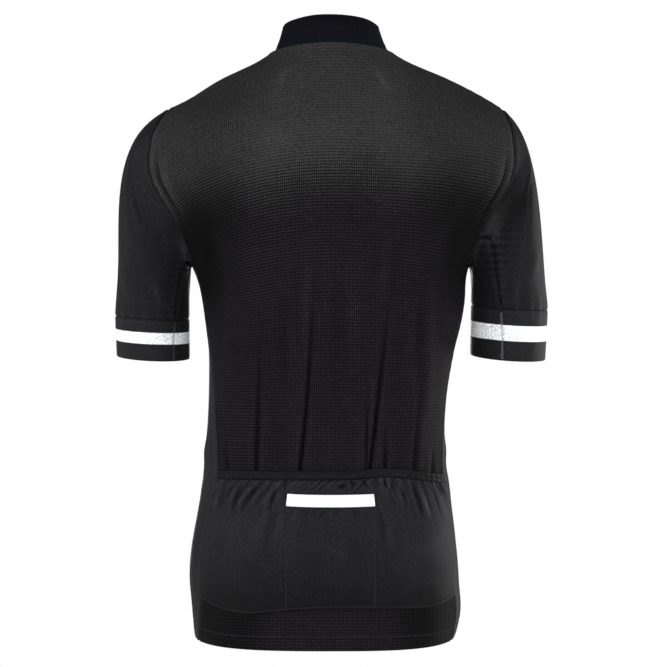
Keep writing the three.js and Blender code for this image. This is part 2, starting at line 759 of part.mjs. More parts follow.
// A flat tab with an eye; its top bar lies in the crown and turns there
function zipPull() {
  const p = PULL;
  const bar = p.thickness / 2;
  const shape = new THREE.Shape();
  shape.moveTo(-p.halfWidth, bar);
  shape.lineTo(-p.halfWidth, p.halfWidth - p.length);
  shape.absarc(0, p.halfWidth - p.length, p.halfWidth, Math.PI, 2 * Math.PI);
  shape.lineTo(p.halfWidth, bar);
  shape.closePath();
  const eye = new THREE.Path();
  eye.moveTo(-p.eyeHalf, -bar);
  eye.lineTo(p.eyeHalf, -bar);
  eye.lineTo(p.eyeHalf, -p.eyeLength);
  eye.lineTo(-p.eyeHalf, -p.eyeLength);
  eye.closePath();
  shape.holes.push(eye);
  const cut = { depth: p.thickness, bevelEnabled: false, curveSegments: TAB_ARC_STEPS };
  return new THREE.ExtrudeGeometry(shape, cut).translate(0, 0, -bar).rotateX(Math.PI / 2);
}

const jersey = new THREE.Group();

function add(name, geometry, finish, position = [0, 0, 0]) {
  const mesh = new THREE.Mesh(geometry, new THREE.MeshStandardMaterial(FINISHES[finish]));
  mesh.name = name;
  mesh.position.set(...position);
  jersey.add(mesh);
}

add('back_panel', backPanel(), 'meshKnit');
add('collar', collar(), 'collarKnit');
for (const side of ['left', 'right']) {
  add(`front_${side}`, frontPanel(side), 'smoothKnit');
  add(`side_panel_${side}`, sidePanel(side), 'smoothKnit');
  add(`sleeve_${side}`, sleeve(side), 'smoothKnit');
  add(`cuff_${side}`, cuff(side), 'cuffBand');
  add(`zip_tape_${side}`, zipTape(side), 'zipTape');
}
add('pocket_panel', pocketPanel(), 'pocketKnit');
add('pocket_band', pocketBand(), 'pocketKnit');
add('reflective_strip', reflectiveStrip(), 'reflective');
add('zip_coil', zipCoil(), 'zipCoil');
add('zip_slider', zipSlider(), 'zipMetal');
add('zip_pull', zipPull(), 'zipMetal', [0, PULL.pinY, PULL.pinZ]);

export default jersey;
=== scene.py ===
"""The looks of a cycling jersey: knitted cloth with its folds, gathers, seams and stitches, and a zip.

Sizes are millimetres until a mesh is made. +Z is up, +Y the wearer's back and +X the wearer's left.
"""

import math

import bpy
import numpy as np
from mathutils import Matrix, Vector


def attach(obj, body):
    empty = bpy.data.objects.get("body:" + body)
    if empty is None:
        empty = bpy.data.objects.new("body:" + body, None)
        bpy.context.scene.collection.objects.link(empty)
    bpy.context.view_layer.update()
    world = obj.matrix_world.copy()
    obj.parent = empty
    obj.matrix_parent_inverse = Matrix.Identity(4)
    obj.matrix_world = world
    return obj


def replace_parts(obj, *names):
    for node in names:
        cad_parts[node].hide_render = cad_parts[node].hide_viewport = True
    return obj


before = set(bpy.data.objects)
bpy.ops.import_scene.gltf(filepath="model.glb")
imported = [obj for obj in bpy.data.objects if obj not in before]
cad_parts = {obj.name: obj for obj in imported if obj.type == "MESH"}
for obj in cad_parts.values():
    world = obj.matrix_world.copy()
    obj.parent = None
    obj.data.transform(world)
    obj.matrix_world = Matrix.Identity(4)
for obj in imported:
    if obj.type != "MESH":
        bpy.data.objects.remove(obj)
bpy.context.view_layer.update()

METRES = 0.001
GARMENT = "garment"
PULL_TAB = "pull_tab"

# The view: level, from behind the wearer, and far enough away for a long lens
CAMERA_PLACE = (-0.003, 3.2, -0.340)
CAMERA_LENS = 144
CAMERA_SENSOR = 36
FLOOR_DROP = -1.42
FLOOR_HALF = 4
STUDIO_FILL = 0.13

# Thicknesses of the cloths, and the gaps that part the pieces
CLOTH = 1.2
HEM_CLOTH = 1.9
CUFF_CLOTH = 1.6
COLLAR_CLOTH = 1.8
STRIP_CLOTH = 0.5
SEAM_GAP = 0.4
PATCH_LIFT = 0.9
STRIP_LIFT = 0.35
POCKET_LIFT = PATCH_LIFT + CLOTH
EDGE_ROUNDING = 0.25
POCKET_FLOOR = -0.75

# A hollow is how far a place lies below the cloth around it: the cloth is evened out this many
# times across and along to find that, and this depth counts as a full hollow
# The hollows are painted into the cloths' colours as shade, and the ridges as light
HOLLOW_REACH_ACROSS = 50
HOLLOW_REACH_ALONG = 5
HOLLOW_DEPTH = 1.6

# A seam's groove, and the swell of the cloth beside it
PANEL_SEAM = {"dip": 1.3, "dip_width": 1.7, "swell": 0.5, "swell_at": 5, "swell_width": 3}
SLEEVE_SEAM_LINE = {"dip": 1.3, "dip_width": 1.6, "swell": 0.7, "swell_at": 5, "swell_width": 4}
CUFF_SEAM_LINE = {"dip": 0.7, "dip_width": 1.3, "swell": 0.3, "swell_at": 4, "swell_width": 3}
CUFF_DIP = 0.7
CUFF_DIP_WIDTH = 1.7

# The puckers along each kind of seam: from one to the next, how high, and how far they reach
PANEL_PUCKER = {"pitch": 12, "height": 0.3, "reach": 9}
ARMHOLE_PUCKER = {"pitch": 11, "height": 0.9, "reach": 12}
ZIP_PUCKER = {"pitch": 16, "height": 0.5, "reach": 9}
SLEEVE_PUCKER = {"pitch": 9, "height": 1.2, "reach": 13}
CUFF_PUCKER = {"pitch": 17, "height": 0.6, "reach": 12}
CUFF_BAND_PUCKER = {"pitch": 17, "height": 0.4, "reach": 12}
POCKET_PUCKER = {"pitch": 5.5, "height": 0.55, "reach": 5}


def table(columns, *rows):
    """Rows of numbers as one array for each named column."""
    return {column: np.array([row[i] for row in rows], float) for i, column in enumerate(columns)}


# The trunk. A row is one level ring: its reaches to the left, right, back and front, how far the
# widest line lies behind the middle, its heights at the sides, the centre back and the centre
# front, and how square it is. "up" is the length along the cloth from the hem.
SECTIONS = table(
    ["up", "left", "right", "back", "front", "ridge", "side_z", "back_z", "front_z", "square"],
    [0, 162, 146, 104, 104, 0, -709, -709, -709, 3],
    [38, 166, 155, 108, 105, 0, -671, -671, -671, 2.6],
    [78, 169.5, 152.5, 110, 106, 0, -631, -631, -631, 2.4],
    [123, 165.5, 147.5, 108, 107, 0, -586, -586, -586, 2.4],
    [178, 156, 143, 101, 107, 0, -531, -531, -531, 2.4],
    [236, 150, 136.5, 92, 106, 0, -473, -473, -473, 2.4],
    [293, 146, 138, 88, 106, 0, -416, -416, -416, 2.4],
    [351, 145.5, 147.6, 95, 110, 0, -358, -358, -358, 2.4],
    [403, 152, 159, 106, 115, 0, -306, -306, -306, 2.4],
    [451, 167, 165.5, 112, 118, 0, -258, -258, -258, 2.3],
    [493, 203, 198, 115, 119, 1, -205, -216, -226, 2.15],
    [538, 240, 233, 114, 116, 2, -150, -171, -194, 2.1],
    [578, 236, 232, 110, 110, 5, -105, -131, -166, 2.1],
    [613, 208, 214, 103, 103, 8, -80, -96, -140, 2.1],
    [643, 169, 185, 94, 96, 9, -60, -68, -118, 2.1],
    [672, 132, 141, 82, 89, 8, -37, -40, -98, 2.05],
    [696, 89, 93, 71, 82, 4, -16, -15, -79, 2],
    [714, 67, 68, 60, 76, 0, -1, 5, -62, 2],
)
NECK_UP = 714

COLLAR = table(
    ["rise", "left", "right", "back", "front", "ridge", "side_z", "back_z", "front_z", "square"],
    [0, 67, 68, 60, 76, 0, -1, 5, -62, 2],
    [0.5, 62, 62, 55, 75.4, 0, 12, 26, -43, 2.1],
    [1, 57.5, 56.5, 47, 75, 0, 28, 37.5, -22, 2.5],
)
COLLAR_HEIGHT = 32
COLLAR_ALLOWANCE = 3
# The collar's rounded top edge and the groove above its base, as shares of its height, and waves
COLLAR_EDGE = {"rise": 0.97, "width": 0.05, "height": 0.35}
COLLAR_GROOVE = {"rise": 0.12, "width": 0.04, "height": -0.4}
COLLAR_WAVES = 7
COLLAR_WAVES_START = 0.6
COLLAR_WAVE_HEIGHT = 0.3
COLLAR_WAVES_FROM_ZIP = 30

# The hem rises towards the sides and again towards the zip
HEM_SIDE_RISE = 9
HEM_FLATNESS = 6
HEM_FRONT_RISE = 16
HEM_STITCH_UP = 17
HEM_GROOVE = 0.5
HEM_GROOVE_WIDTH = 1.4

# The seams between the back and the side panels, in degrees round from the centre back
SIDE_SEAMS = table(
    ["up", "left", "right"],
    [0, 71, 71],
    [60, 62, 68],
    [110, 61, 71],
    [165, 59, 72],
    [205, 57, 68],
    [270, 65, 80],
    [340, 75, 86],
    [409, 85, 90],
    [451, 91, 91],
)
FRONT_SEAM_AT_HEM = 112

# The armhole, a rounded loop: a turn of 0 is its top, 90 the back and 180 the underarm
ARMHOLE_AROUND = 91
ARMHOLE_UP = 538.5
ARMHOLE_HALF_HEIGHT = 87.5
ARMHOLE_BACK = {"left": 29, "right": 24.5}
ARMHOLE_FRONT = {"left": 29, "right": 29}
ARMHOLE_SQUARE = 2.5
UNDERARM_TURN = 180
FRONT_SEAM_TURN = 225
UNDERARM_UP = ARMHOLE_UP - ARMHOLE_HALF_HEIGHT
ARMHOLE_TOP_UP = ARMHOLE_UP + ARMHOLE_HALF_HEIGHT
# Where the armhole's puckers start, are highest and end
ARMHOLE_PUCKER_UP = (UNDERARM_UP - 30, UNDERARM_UP + 60, ARMHOLE_TOP_UP + 10)

SLEEVE_RINGS = {
    "left": table(
        ["z", "inner", "outer", "centre_y", "half_depth", "pitch"],
        [-368, 170, 258, -14, 46, 5],
        [-320, 170, 259, -8, 49, 4],
        [-275, 170, 256, -2, 49, 3],
    ),
    "right": table(
        ["z", "inner", "outer", "centre_y", "half_depth", "pitch"],
        [-368, 167.5, 258, -14, 46, 5],
        [-308, 168, 260, -7, 49, 4],
        [-275, 168.5, 257, -2, 49, 3],
    ),
}
SLEEVE_ROLL = {"left": 2, "right": -3}
SLEEVE_TOP_FULLNESS = {"left": 1.2, "right": 0.78}
CUFF_SEAM_Z = {"left": -320, "right": -308}
CAP_END_Z = -275
CUFF_END_Z = -368
CAP_FULLNESS = 1.05
CAP_LEAD = 8
# A sleeve's own seam: its turn at the armhole and at the cuff's edge
SLEEVE_SEAM = {"left": (170, 127), "right": (135, 102)}
DEGREE_OF_SLEEVE = 0.84
# The sleeve's creases fade in over this share of the cap, and out over this length above the cuff
CREASES_FROM_CAP = 1 / 12
CREASES_ABOVE_CUFF = 8

# The cuffs' white stripes, from and to these distances below the cuff's seam
CUFF_STRIPE = {"left": (15.3, 29), "right": (18.8, 37.4)}
STRIPE_SOFTNESS = 0.4

# The folds that run up the back from the pocket band: where each starts at the band, where it ends
# and how far up, how far it bows between, its half width and its depth
BACK_HALF_WIDTH = 145
FOLD_BOTTOM_UP = 182
FOLD_PEAK_UP = 206
BACK_FOLDS = table(
    ["x", "end_x", "top", "bow", "width", "depth"],
    [122, 124, 262, 0, 5, 1.4],
    [87.2, 81, 420, 0, 7, 2.4],
    [36.5, 22, 480, -5, 7, 3.4],
    [-40.7, -43.5, 340, 0, 4.5, 2.2],
    [-45.3, -74, 460, 0, 7, 3.4],
    [-62.7, -64, 272, 0, 5, 2.2],
    [-97.6, -107, 335, 0, 5, 1.8],
    [-119.5, -121, 250, 0, 4, 1.2],
)
# A fold is pinched along its middle, and its lips stand up beside it; all are shares of its depth
HOLLOW = 0.45
PINCH = 1.1
PINCH_WIDTH = 2
LIP = 0.4
LIP_OFFSET = 5.5
LIP_WIDTH = 3.5

# Inside the armhole's seam the cloth stands in a ribbed strip, a crease and a soft lump, above a
# hollow that runs down to the underarm: how far each lies from the seam, its half width and height
BESIDE_ARMHOLE = table(
    ["from_seam", "width", "height", "bottom", "peak", "top"],
    [6, 3.2, 2.0, 466, 520, 572],
    [12.5, 2.4, -3.2, 470, 525, 575],
    [21, 6.5, 2.4, 478, 532, 578],
    [36, 15, -4.5, 400, 478, 548],
)

# The mesh's rows hang in arcs of these radii over the shoulders and level out below
MESH_ARC = {"left": 620, "right": 1500}
MESH_ARC_UP = (290, 500)

# The pocket panel, its elastic band and the reflective strip on the middle pocket. The band's
# drop says how much lower it lies across the back, and the strip sags towards its middle.
BAND_BOTTOM = 198
BAND_TOP = 209
BAND_THICKNESS = 2.2
BAND_CLOTH = 1.1
BAND_WELT = 0.9
BAND_WELT_ROUNDNESS = 0.7
RUFFLE_HEIGHT = 0.22
RUFFLE_LENGTH = 0.9
RUFFLE_WANDER = 0.8
RUFFLE_WANDER_LENGTH = 5
BAND_WAVE_HEIGHT = 0.2
BAND_WAVE_LENGTH = 4.3
BAND_DROP = table(
    ["across", "drop"],
    [-1, 6],
    [-0.86, 4.4],
    [-0.6, 0.5],
    [-0.33, -3.5],
    [-0.1, -0.5],
    [0.1, 0],
    [1, 0],
)
POCKET_BOTTOM = table(
    ["across", "up"],
    [-1, 61],
    [-0.8, 53],
    [-0.57, 48.5],
    [-0.3, 49.5],
    [0, 50],
    [0.25, 46.5],
    [0.44, 42.5],
    [0.65, 45],
    [1, 58],
)
STRIP_BOTTOM = 169.5
STRIP_TOP = 183.5
STRIP_LEFT = 51
STRIP_RIGHT = -50
STRIP_SAG = 2.5
STRIP_HALF_ACROSS = 0.36
# The share of the pocket's relief that shows through the stiff strip
STRIP_SUPPLENESS = 0.5
POCKET_DIVISIONS = (52, -51.5)
DIVISION_GROOVE = 0.6
DIVISION_GROOVE_WIDTH = 2.2
# The pocket panel's turned-in lower edge, and how far above it the creases and divisions start
POCKET_TURNING = {"up": 2.5, "width": 2.5, "height": 0.35}
CREASES_ABOVE_EDGE = 10
DIVISIONS_ABOVE_EDGE = 5

# The gathers under the band, pocket by pocket: between which places across, how many, how far
# down they run, how high and how slanting they are
GATHER_GAIN = 1.5
GATHER_UNEVENNESS = 0.25
GATHER_BEAT = 5
GATHER_EDGE = 7
GATHERS = table(
    ["from", "to", "count", "length", "height", "slant"],
    [-146, -51, 9, 50, 1.2, 0.33],
    [-51, 52, 12, 26, 1.7, -1.2],
    [52, 146, 7, 45, 1.3, -0.8],
    [-140, -54, 17, 26, 0.55, 0.5],
    [-46, 50, 17, 20, 0.7, -0.9],
    [56, 140, 16, 30, 0.55, -0.6],
)

# Creases, listed one by one. Each is a soft ridge (or, with a negative height, a trough) between two
# points of its panel, bowed sideways, with a half width.
CREASE_GAIN = 1.7
CREASE_FADE = 1.3
POCKET_CREASE_GAIN = 1.3
CREASE = ["from_across", "from_up", "to_across", "to_up", "bow", "width", "height"]
BACK_CREASES = table(
    CREASE,
    [25, 490, 32, 322, 0, 6, 1.1],
    [-65, 495, -60, 400, 0, 7, 1.3],
    [104, 330, 100, 214, 0, 12, 1.2],
    [74, 300, 76, 214, 0, 5, 0.9],
    [60, 430, 56, 280, 3, 8, -0.8],
    [46, 400, 44, 290, 0, 6, 0.7],
    [-6, 470, -4, 300, 3, 9, -0.6],
    [-28, 440, -26, 300, 0, 8, 0.6],
    [-96, 430, -88, 250, 2, 10, 0.8],
    [-118, 420, -114, 250, 0, 7, 0.9],
    [128, 470, 114, 330, 6, 7, 1.2],
    [112, 440, 106, 300, -4, 6, -1.2],
    [-126, 460, -118, 330, -5, 7, 1.2],
    [-108, 430, -104, 300, -4, 6, -1.0],
    [150, 500, 122, 440, 8, 7, 1.2],
    [-142, 500, -122, 440, -8, 7, 1.2],
    [40, 690, 66, 655, -4, 6, 0.9],
    [-40, 690, -70, 652, 4, 6, 0.9],
)
POCKET_CREASES = table(
    CREASE,
    [70, 200, 106, 154, -5, 2.6, -1.3],
    [74, 203, 112, 156, -5, 3, 1.0],
    [84, 200, 94, 182, -1, 1.8, -0.6],
    [79, 196, 90, 176, -1, 2, 0.5],
    [99, 197, 114, 154, -3, 2.4, -0.8],
    [104, 197, 119, 156, -3, 3, 0.8],
    [61, 192, 71, 158, -2, 2.4, -0.8],
    [66, 190, 76, 156, -2, 3.5, 0.6],
    [58, 168, 76, 118, -3, 5, -0.9],
    [70, 164, 92, 112, -3, 8, 0.6],
    [122, 200, 135, 150, -3, 3, 0.9],
    [118, 196, 129, 160, -3, 2.4, -0.6],
    [-61, 201, -64, 186, 0, 1.8, -0.8],
    [-69, 200, -71, 184, 0, 1.8, -0.8],
    [-65, 201, -67, 182, 0, 2, 0.6],
    [-77, 196, -88, 164, 1, 2.2, -1.0],
    [-73, 196, -84, 160, 1, 3, 0.7],
    [-91, 196, -107, 150, 2, 2.4, -1.2],
    [-96, 194, -112, 150, 2, 3, 1.0],
    [-116, 197, -129, 176, 1, 2.4, -1.0],
    [-57, 168, -60, 118, 0, 3, -0.8],
    [-65, 166, -69, 112, 0, 5, 0.5],
    [-21, 199, -28, 191, 0, 1.8, -1.0],
    [-36, 200, -42, 190, 0, 2, -1.0],
    [-20, 194, -5, 190, 1, 2, -1.2],
    [-34, 199, -29, 188, 0, 1.8, 1.0],
    [24, 166, 34, 154, 0, 1.8, -0.5],
    [15, 166, 24, 156, 0, 1.6, -0.4],
    [4, 166, 14, 154, 0, 1.8, -0.5],
    [-10, 166, -2, 156, 0, 1.6, -0.4],
    [-24, 166, -33, 156, 0, 1.8, -0.4],
    [38, 166, 46, 148, 0, 3, 0.4],
    [40, 118, -36, 108, 5, 12, 0.7],
    [130, 118, 60, 92, 5, 12, 0.8],
    [-130, 122, -64, 96, -5, 12, 0.8],
    [30, 82, -30, 74, 3, 9, 0.6],
    [126, 76, 74, 62, 3, 8, 0.8],
    [-128, 80, -70, 64, -3, 8, 0.8],
)
# The hidden front: its across runs from the zip towards the side
FRONT_CREASES = table(
    CREASE,
    [120, 470, 84, 330, 8, 10, 1.6],
    [104, 440, 70, 300, -6, 9, -1.3],
    [66, 520, 40, 430, 6, 12, 1.4],
    [14, 300, 44, 250, 4, 9, 1.1],
    [12, 246, 58, 196, 5, 9, 1.3],
    [14, 196, 60, 158, 4, 8, -1.0],
    [96, 260, 84, 120, -4, 9, 1.1],
    [76, 220, 70, 90, 3, 8, -0.9],
    [30, 140, 36, 40, 3, 8, 0.9],
    [14, 120, 18, 34, -2, 6, -0.7],
    [150, 520, 112, 470, 6, 8, 1.6],
    [140, 600, 96, 560, -5, 10, 1.0],
    [60, 660, 30, 610, 4, 8, 0.9],
)
SIDE_CREASES = table(
    CREASE,
    [12, 430, 20, 330, 3, 7, 1.2],
    [34, 420, 44, 260, -4, 8, 1.3],
    [58, 400, 52, 250, 3, 7, -1.0],
    [30, 250, 60, 216, 4, 7, 1.0],
    [24, 222, 66, 192, 4, 7, -0.9],
    [36, 170, 30, 60, 4, 9, 1.1],
    [70, 150, 76, 46, -3, 8, 0.9],
    [54, 120, 50, 30, 2, 7, -0.8],
)
# A sleeve's across is its turn in degrees, and its up is the height above the cuff's edge
SLEEVE_CREASES = {
    "left": table(
        CREASE,
        [96, 240, 128, 176, 8, 8, 1.3],
        [70, 210, 96, 140, 6, 9, 1.1],
        [116, 200, 140, 120, 6, 7, -1.2],
        [140, 170, 164, 96, 5, 7, 1.4],
        [28, 120, 62, 70, 6, 9, 0.9],
        [90, 100, 120, 56, 4, 7, 0.8],
        [230, 190, 262, 120, 6, 9, 1.3],
        [262, 230, 290, 160, -6, 9, 1.1],
        [205, 150, 222, 84, 4, 7, -1.1],
        [300, 130, 330, 72, 6, 9, 0.9],
        [180, 150, 190, 70, 4, 8, 1.1],
    ),
    "right": table(
        CREASE,
        [64, 250, 90, 186, 7, 8, 1.2],
        [90, 220, 112, 140, 5, 8, -1.1],
        [112, 190, 138, 116, 6, 7, 1.4],
        [140, 160, 168, 90, 5, 7, 1.2],
        [34, 140, 70, 84, 6, 9, 0.9],
        [74, 96, 100, 60, 4, 7, 0.8],
        [236, 200, 262, 126, 6, 9, 1.2],
        [268, 240, 300, 170, -6, 9, 1.2],
        [208, 160, 226, 90, 4, 7, -1.1],
        [310, 120, 336, 70, 6, 9, 0.9],
        [184, 150, 196, 74, 4, 8, 1.0],
    ),
}

# The zip
ZIP_FRONT_EDGE = 7
TAPE_THICKNESS = 0.9
# The tape's section: how far from the zip's middle and how deep. It passes under the coil at its
# inner edge and under the front's edge at its outer one.
TAPE_SECTION = ((0.15, 1.75), (1.9, 1.75), (2.5, 0.6), (4.4, 0.2), (6.2, 0.4), (7.2, 2.3), (10.5, 2.5))
COIL_HALF = 2
COIL_THICKNESS = 2
COIL_PROUD = 0.4
COIL_TOP_Z = -27.4
COIL_PITCH = 1.5
PULL_PIN = (0, -79.2, -33.1)
PULL_THICKNESS = 1.4
PULL_EYE_HALF = 1.6
PULL_EYE_LENGTH = 6.8
PULL_HALF_WIDTH = 3.25
PULL_LENGTH = 25
PULL_ARC_STEPS = 24
PULL_BEVEL = 0.2
RIDGE_COUNT = 3
RIDGE_START = 12
RIDGE_PITCH = 2.4
RIDGE_HALF_WIDTH = 2.2
RIDGE_LENGTH = 1
RIDGE_PROUD = 0.05
RIDGE_SUNK = 0.2

# How finely each piece is cut
ROW_FAN = 28
LOWER_ROWS = 100
ARMHOLE_STEP = 3
SHOULDER_ROWS = 22
BACK_COLUMNS = 240
FRONT_COLUMNS = 72
SIDE_COLUMNS = 44
SLEEVE_COLUMNS = 144
CAP_ROWS = 96
CAP_ROW_CROWDING = 1.3
SLEEVE_ROWS = 24
CUFF_ROWS = 30
COLLAR_COLUMNS = 180
COLLAR_ROWS = 16
POCKET_COLUMNS = 300
POCKET_ROWS = 80
BAND_ROWS = 14
STRIP_ROWS = 8
ZIP_ROWS = 320

SIGN = {"left": 1, "right": -1}


# Small tools


def mix(start, end, part):
    return start + (end - start) * part


def signed_power(value, power):
    return np.sign(value) * np.abs(value) ** power


def bell(off, width):
    """1 where off is 0, falling to nothing over a width or two to both sides."""
    return np.exp(-((off / width) ** 2))


def closer_at_ends(count):
    """Shares from 0 to 1 that lie closer together towards both ends."""
    part = np.linspace(0, 1, count + 1)
    return part - 0.1 * np.sin(2 * math.pi * part)


def rows_of(rows):
    """The rows of a table, one by one, as dicts."""
    return [dict(zip(rows, numbers)) for numbers in zip(*rows.values())]


def hump(at, bottom, peak, top):
    """1 at the peak, falling smoothly to 0 at both ends."""
    part = np.where(at < peak, (at - bottom) / (peak - bottom), (top - at) / (top - peak))
    return np.sin(np.clip(part, 0, 1) * math.pi / 2) ** 2


def smooth(rows, along, column):
    """A smooth curve through one column of a table."""
    places, values = rows[along], rows[column]
    index = np.arange(len(places))
    before, after = np.maximum(index - 1, 0), np.minimum(index + 1, len(places) - 1)
    slopes = (values[after] - values[before]) / (places[after] - places[before])

    def curve(at):
        at = np.clip(at, places[0], places[-1])
        end = np.clip(np.searchsorted(places, at), 1, len(places) - 1)
        start = end - 1
        span = places[end] - places[start]
        t = (at - places[start]) / span
        level = values[start] * (1 + 2 * t) * (1 - t) ** 2 + values[end] * t**2 * (3 - 2 * t)
        return level + span * (slopes[start] * t * (1 - t) ** 2 - slopes[end] * t**2 * (1 - t))

    return curve


def smooth_rows(rows, along):
    """All columns of a table as one function that gives a row at any place."""
    curves = {column: smooth(rows, along, column) for column in rows if column != along}
    return lambda at: {column: curve(at) for column, curve in curves.items()}


def lengths_between(points, axis):
    """Running lengths along one direction of a grid of points."""
    steps = np.linalg.norm(np.diff(points, axis=axis), axis=-1)
    start = np.zeros_like(np.take(steps, [0], axis=axis))
    return np.cumsum(np.concatenate([start, steps], axis=axis), axis=axis)


def unit(vectors):
    return vectors / np.linalg.norm(vectors, axis=-1, keepdims=True)


def read_along(runs, at, vectors):
    """Vectors given along a line, read at other places along it."""
    return np.stack([np.interp(at, runs, vectors[:, k]) for k in range(3)], axis=1)


# The forms that the pieces are cut from

trunk_ring = smooth_rows(SECTIONS, "up")
collar_ring = smooth_rows(COLLAR, "rise")
side_seam = smooth_rows(SIDE_SEAMS, "up")
pocket_bottom = smooth(POCKET_BOTTOM, "across", "up")
band_drop = smooth(BAND_DROP, "across", "drop")
sleeve_ring = {side: smooth_rows(rings, "z") for side, rings in SLEEVE_RINGS.items()}


def ring_point(ring, around):
    """A point of a ring, by its degrees round from the centre back; the left is positive."""
    sine, cosine = np.sin(np.radians(around)), np.cos(np.radians(around))
    behind = cosine >= 0
    reach = np.where(sine >= 0, ring["left"], ring["right"])
    depth = np.where(behind, ring["back"] - ring["ridge"], ring["front"] + ring["ridge"])
    middle_z = np.where(behind, ring["back_z"], ring["front_z"])
    power = 2 / ring["square"]
    x = reach * signed_power(sine, power)
    y = ring["ridge"] + depth * signed_power(cosine, power)
    z = ring["side_z"] * sine**2 + middle_z * cosine**2
    return np.stack(np.broadcast_arrays(x, y, z), axis=-1)


def front_around(ring, side, distance):
    """Where a ring passes a distance from the middle of the front, in degrees round."""
    sine = (distance / ring[side]) ** (ring["square"] / 2)
    return 180 - np.degrees(np.arcsin(sine))


def trunk_point(up, around):
    return ring_point(trunk_ring(up), around)


def collar_point(rise, around):
    return ring_point(collar_ring(rise), around)


def outward(surface, first, second, first_step, second_step):
    """The outward normal of a surface, from short steps to both sides along its two directions."""
    along = surface(first + first_step, second) - surface(first - first_step, second)
    across = surface(first, second + second_step) - surface(first, second - second_step)
    return unit(np.cross(along, across))


def trunk_normal(up, around):
    return outward(trunk_point, up, around, 0.5, 0.5)


def collar_normal(rise, around):
    return outward(collar_point, rise, around, 0.01, 0.5)


def hem_up(around):
    sine, cosine = np.sin(np.radians(around)), np.cos(np.radians(around))
    front_rise = np.where(cosine < 0, HEM_FRONT_RISE * cosine**2, 0)
    return HEM_SIDE_RISE * sine**HEM_FLATNESS + front_rise


def aside(side, up, around, length):
    """Moves a place round the trunk, away from the centre back, by a length."""
    here = trunk_point(up, SIGN[side] * around)
    there = trunk_point(up, SIGN[side] * (around + 1))
    return around + length / np.linalg.norm(there - here, axis=-1)


def armhole(side, turn, growth):
    """A place on the armhole's line, as its up and its degrees round."""
    power = 2 / ARMHOLE_SQUARE
    sine = signed_power(np.sin(np.radians(turn)), power)
    cosine = signed_power(np.cos(np.radians(turn)), power)
    reach = np.where(sine > 0, ARMHOLE_BACK[side], ARMHOLE_FRONT[side])
    up = ARMHOLE_UP + cosine * ARMHOLE_HALF_HEIGHT
    around = ARMHOLE_AROUND - sine * reach
    return up + cosine * growth, aside(side, up, around, -sine * growth)


def arm_ring_point(side, z, turn):
    ring = sleeve_ring[side](z)
    sine, cosine = np.sin(np.radians(turn)), np.cos(np.radians(turn))
    middle = (ring["inner"] + ring["outer"]) / 2
    half_width = (ring["outer"] - ring["inner"]) / 2
    x = SIGN[side] * (middle + half_width * cosine)
    y = ring["centre_y"] + ring["half_depth"] * sine
    z = z + SLEEVE_ROLL[side] * cosine - ring["pitch"] * sine
    return np.stack(np.broadcast_arrays(x, y, z), axis=-1)


def sleeve_point(side, run, turn):
    """A sleeve's point: run 0 to 1 is the cap from the armhole down, 1 to 2 the tube below it."""
    run, turn = np.broadcast_arrays(np.asarray(run, float), np.asarray(turn, float))
    start_up, start_around = armhole(side, turn, -SEAM_GAP / 2)
    before_up, before_around = armhole(side, turn, CAP_LEAD)
    start = trunk_point(start_up, SIGN[side] * start_around)
    before = trunk_point(before_up, SIGN[side] * before_around)
    end = arm_ring_point(side, np.full_like(turn, CAP_END_Z), turn)
    chord = np.linalg.norm(end - start, axis=-1, keepdims=True)
    at_top = np.maximum(np.cos(np.radians(turn)), 0)[..., None]
    fullness = mix(CAP_FULLNESS, SLEEVE_TOP_FULLNESS[side], at_top)
    leave = unit(start - before) * chord * fullness
    beyond = arm_ring_point(side, np.full_like(turn, CAP_END_Z - 1), turn)
    arrive = unit(beyond - end) * chord * CAP_FULLNESS
    t = np.clip(run, 0, 1)[..., None]
    cap = start * (1 + 2 * t) * (1 - t) ** 2 + leave * t * (1 - t) ** 2
    cap = cap + end * t**2 * (3 - 2 * t) - arrive * t**2 * (1 - t)
    tube = arm_ring_point(side, mix(CAP_END_Z, CUFF_END_Z, run - 1), turn)
    return np.where((run >= 1)[..., None], tube, cap)


def sleeve_normal(side, run, turn):
    normal = SIGN[side] * outward(lambda a, b: sleeve_point(side, a, b), run, turn, 0.01, 0.5)
    up, around = armhole(side, turn, -SEAM_GAP / 2)
    return np.where((run <= 0)[..., None], trunk_normal(up, SIGN[side] * around), normal)


def run_at(z):
    return 1 + (CAP_END_Z - z) / (CAP_END_Z - CUFF_END_Z)


# Reliefs


def creases(rows, across, up):
    """The soft ridges and troughs of a table, at places given in its own across and up."""
    height = np.zeros(np.broadcast(across, up).shape)
    for row in rows_of(rows):
        run = np.array([row["to_across"] - row["from_across"], row["to_up"] - row["from_up"]])
        length = np.linalg.norm(run)
        off_across, off_up = across - row["from_across"], up - row["from_up"]
        part = (off_across * run[0] + off_up * run[1]) / length**2
        aside_by = (off_across * run[1] - off_up * run[0]) / length
        inside = np.clip(part, 0, 1)
        fade = np.sin(inside * math.pi) ** CREASE_FADE
        bowed = aside_by - row["bow"] * np.sin(inside * math.pi)
        height = height + CREASE_GAIN * row["height"] * fade * bell(bowed, row["width"])
    return height


def fold_depth(up, x):
    """The folds that the pocket band gathers into the back."""
    height = np.zeros(np.broadcast(up, x).shape)
    for fold in rows_of(BACK_FOLDS):
        climbed = np.clip((up - FOLD_PEAK_UP) / (fold["top"] - FOLD_PEAK_UP), 0, 1)
        off = x - mix(fold["x"], fold["end_x"], climbed) - fold["bow"] * np.sin(math.pi * climbed)
        share = hump(up, FOLD_BOTTOM_UP, FOLD_PEAK_UP, fold["top"])
        hollow = HOLLOW * bell(off, fold["width"])
        pinch = PINCH * bell(off, PINCH_WIDTH)
        lips = LIP * bell(np.abs(off) - LIP_OFFSET, LIP_WIDTH)
        height = height - fold["depth"] * share * (hollow + pinch - lips)
    return height


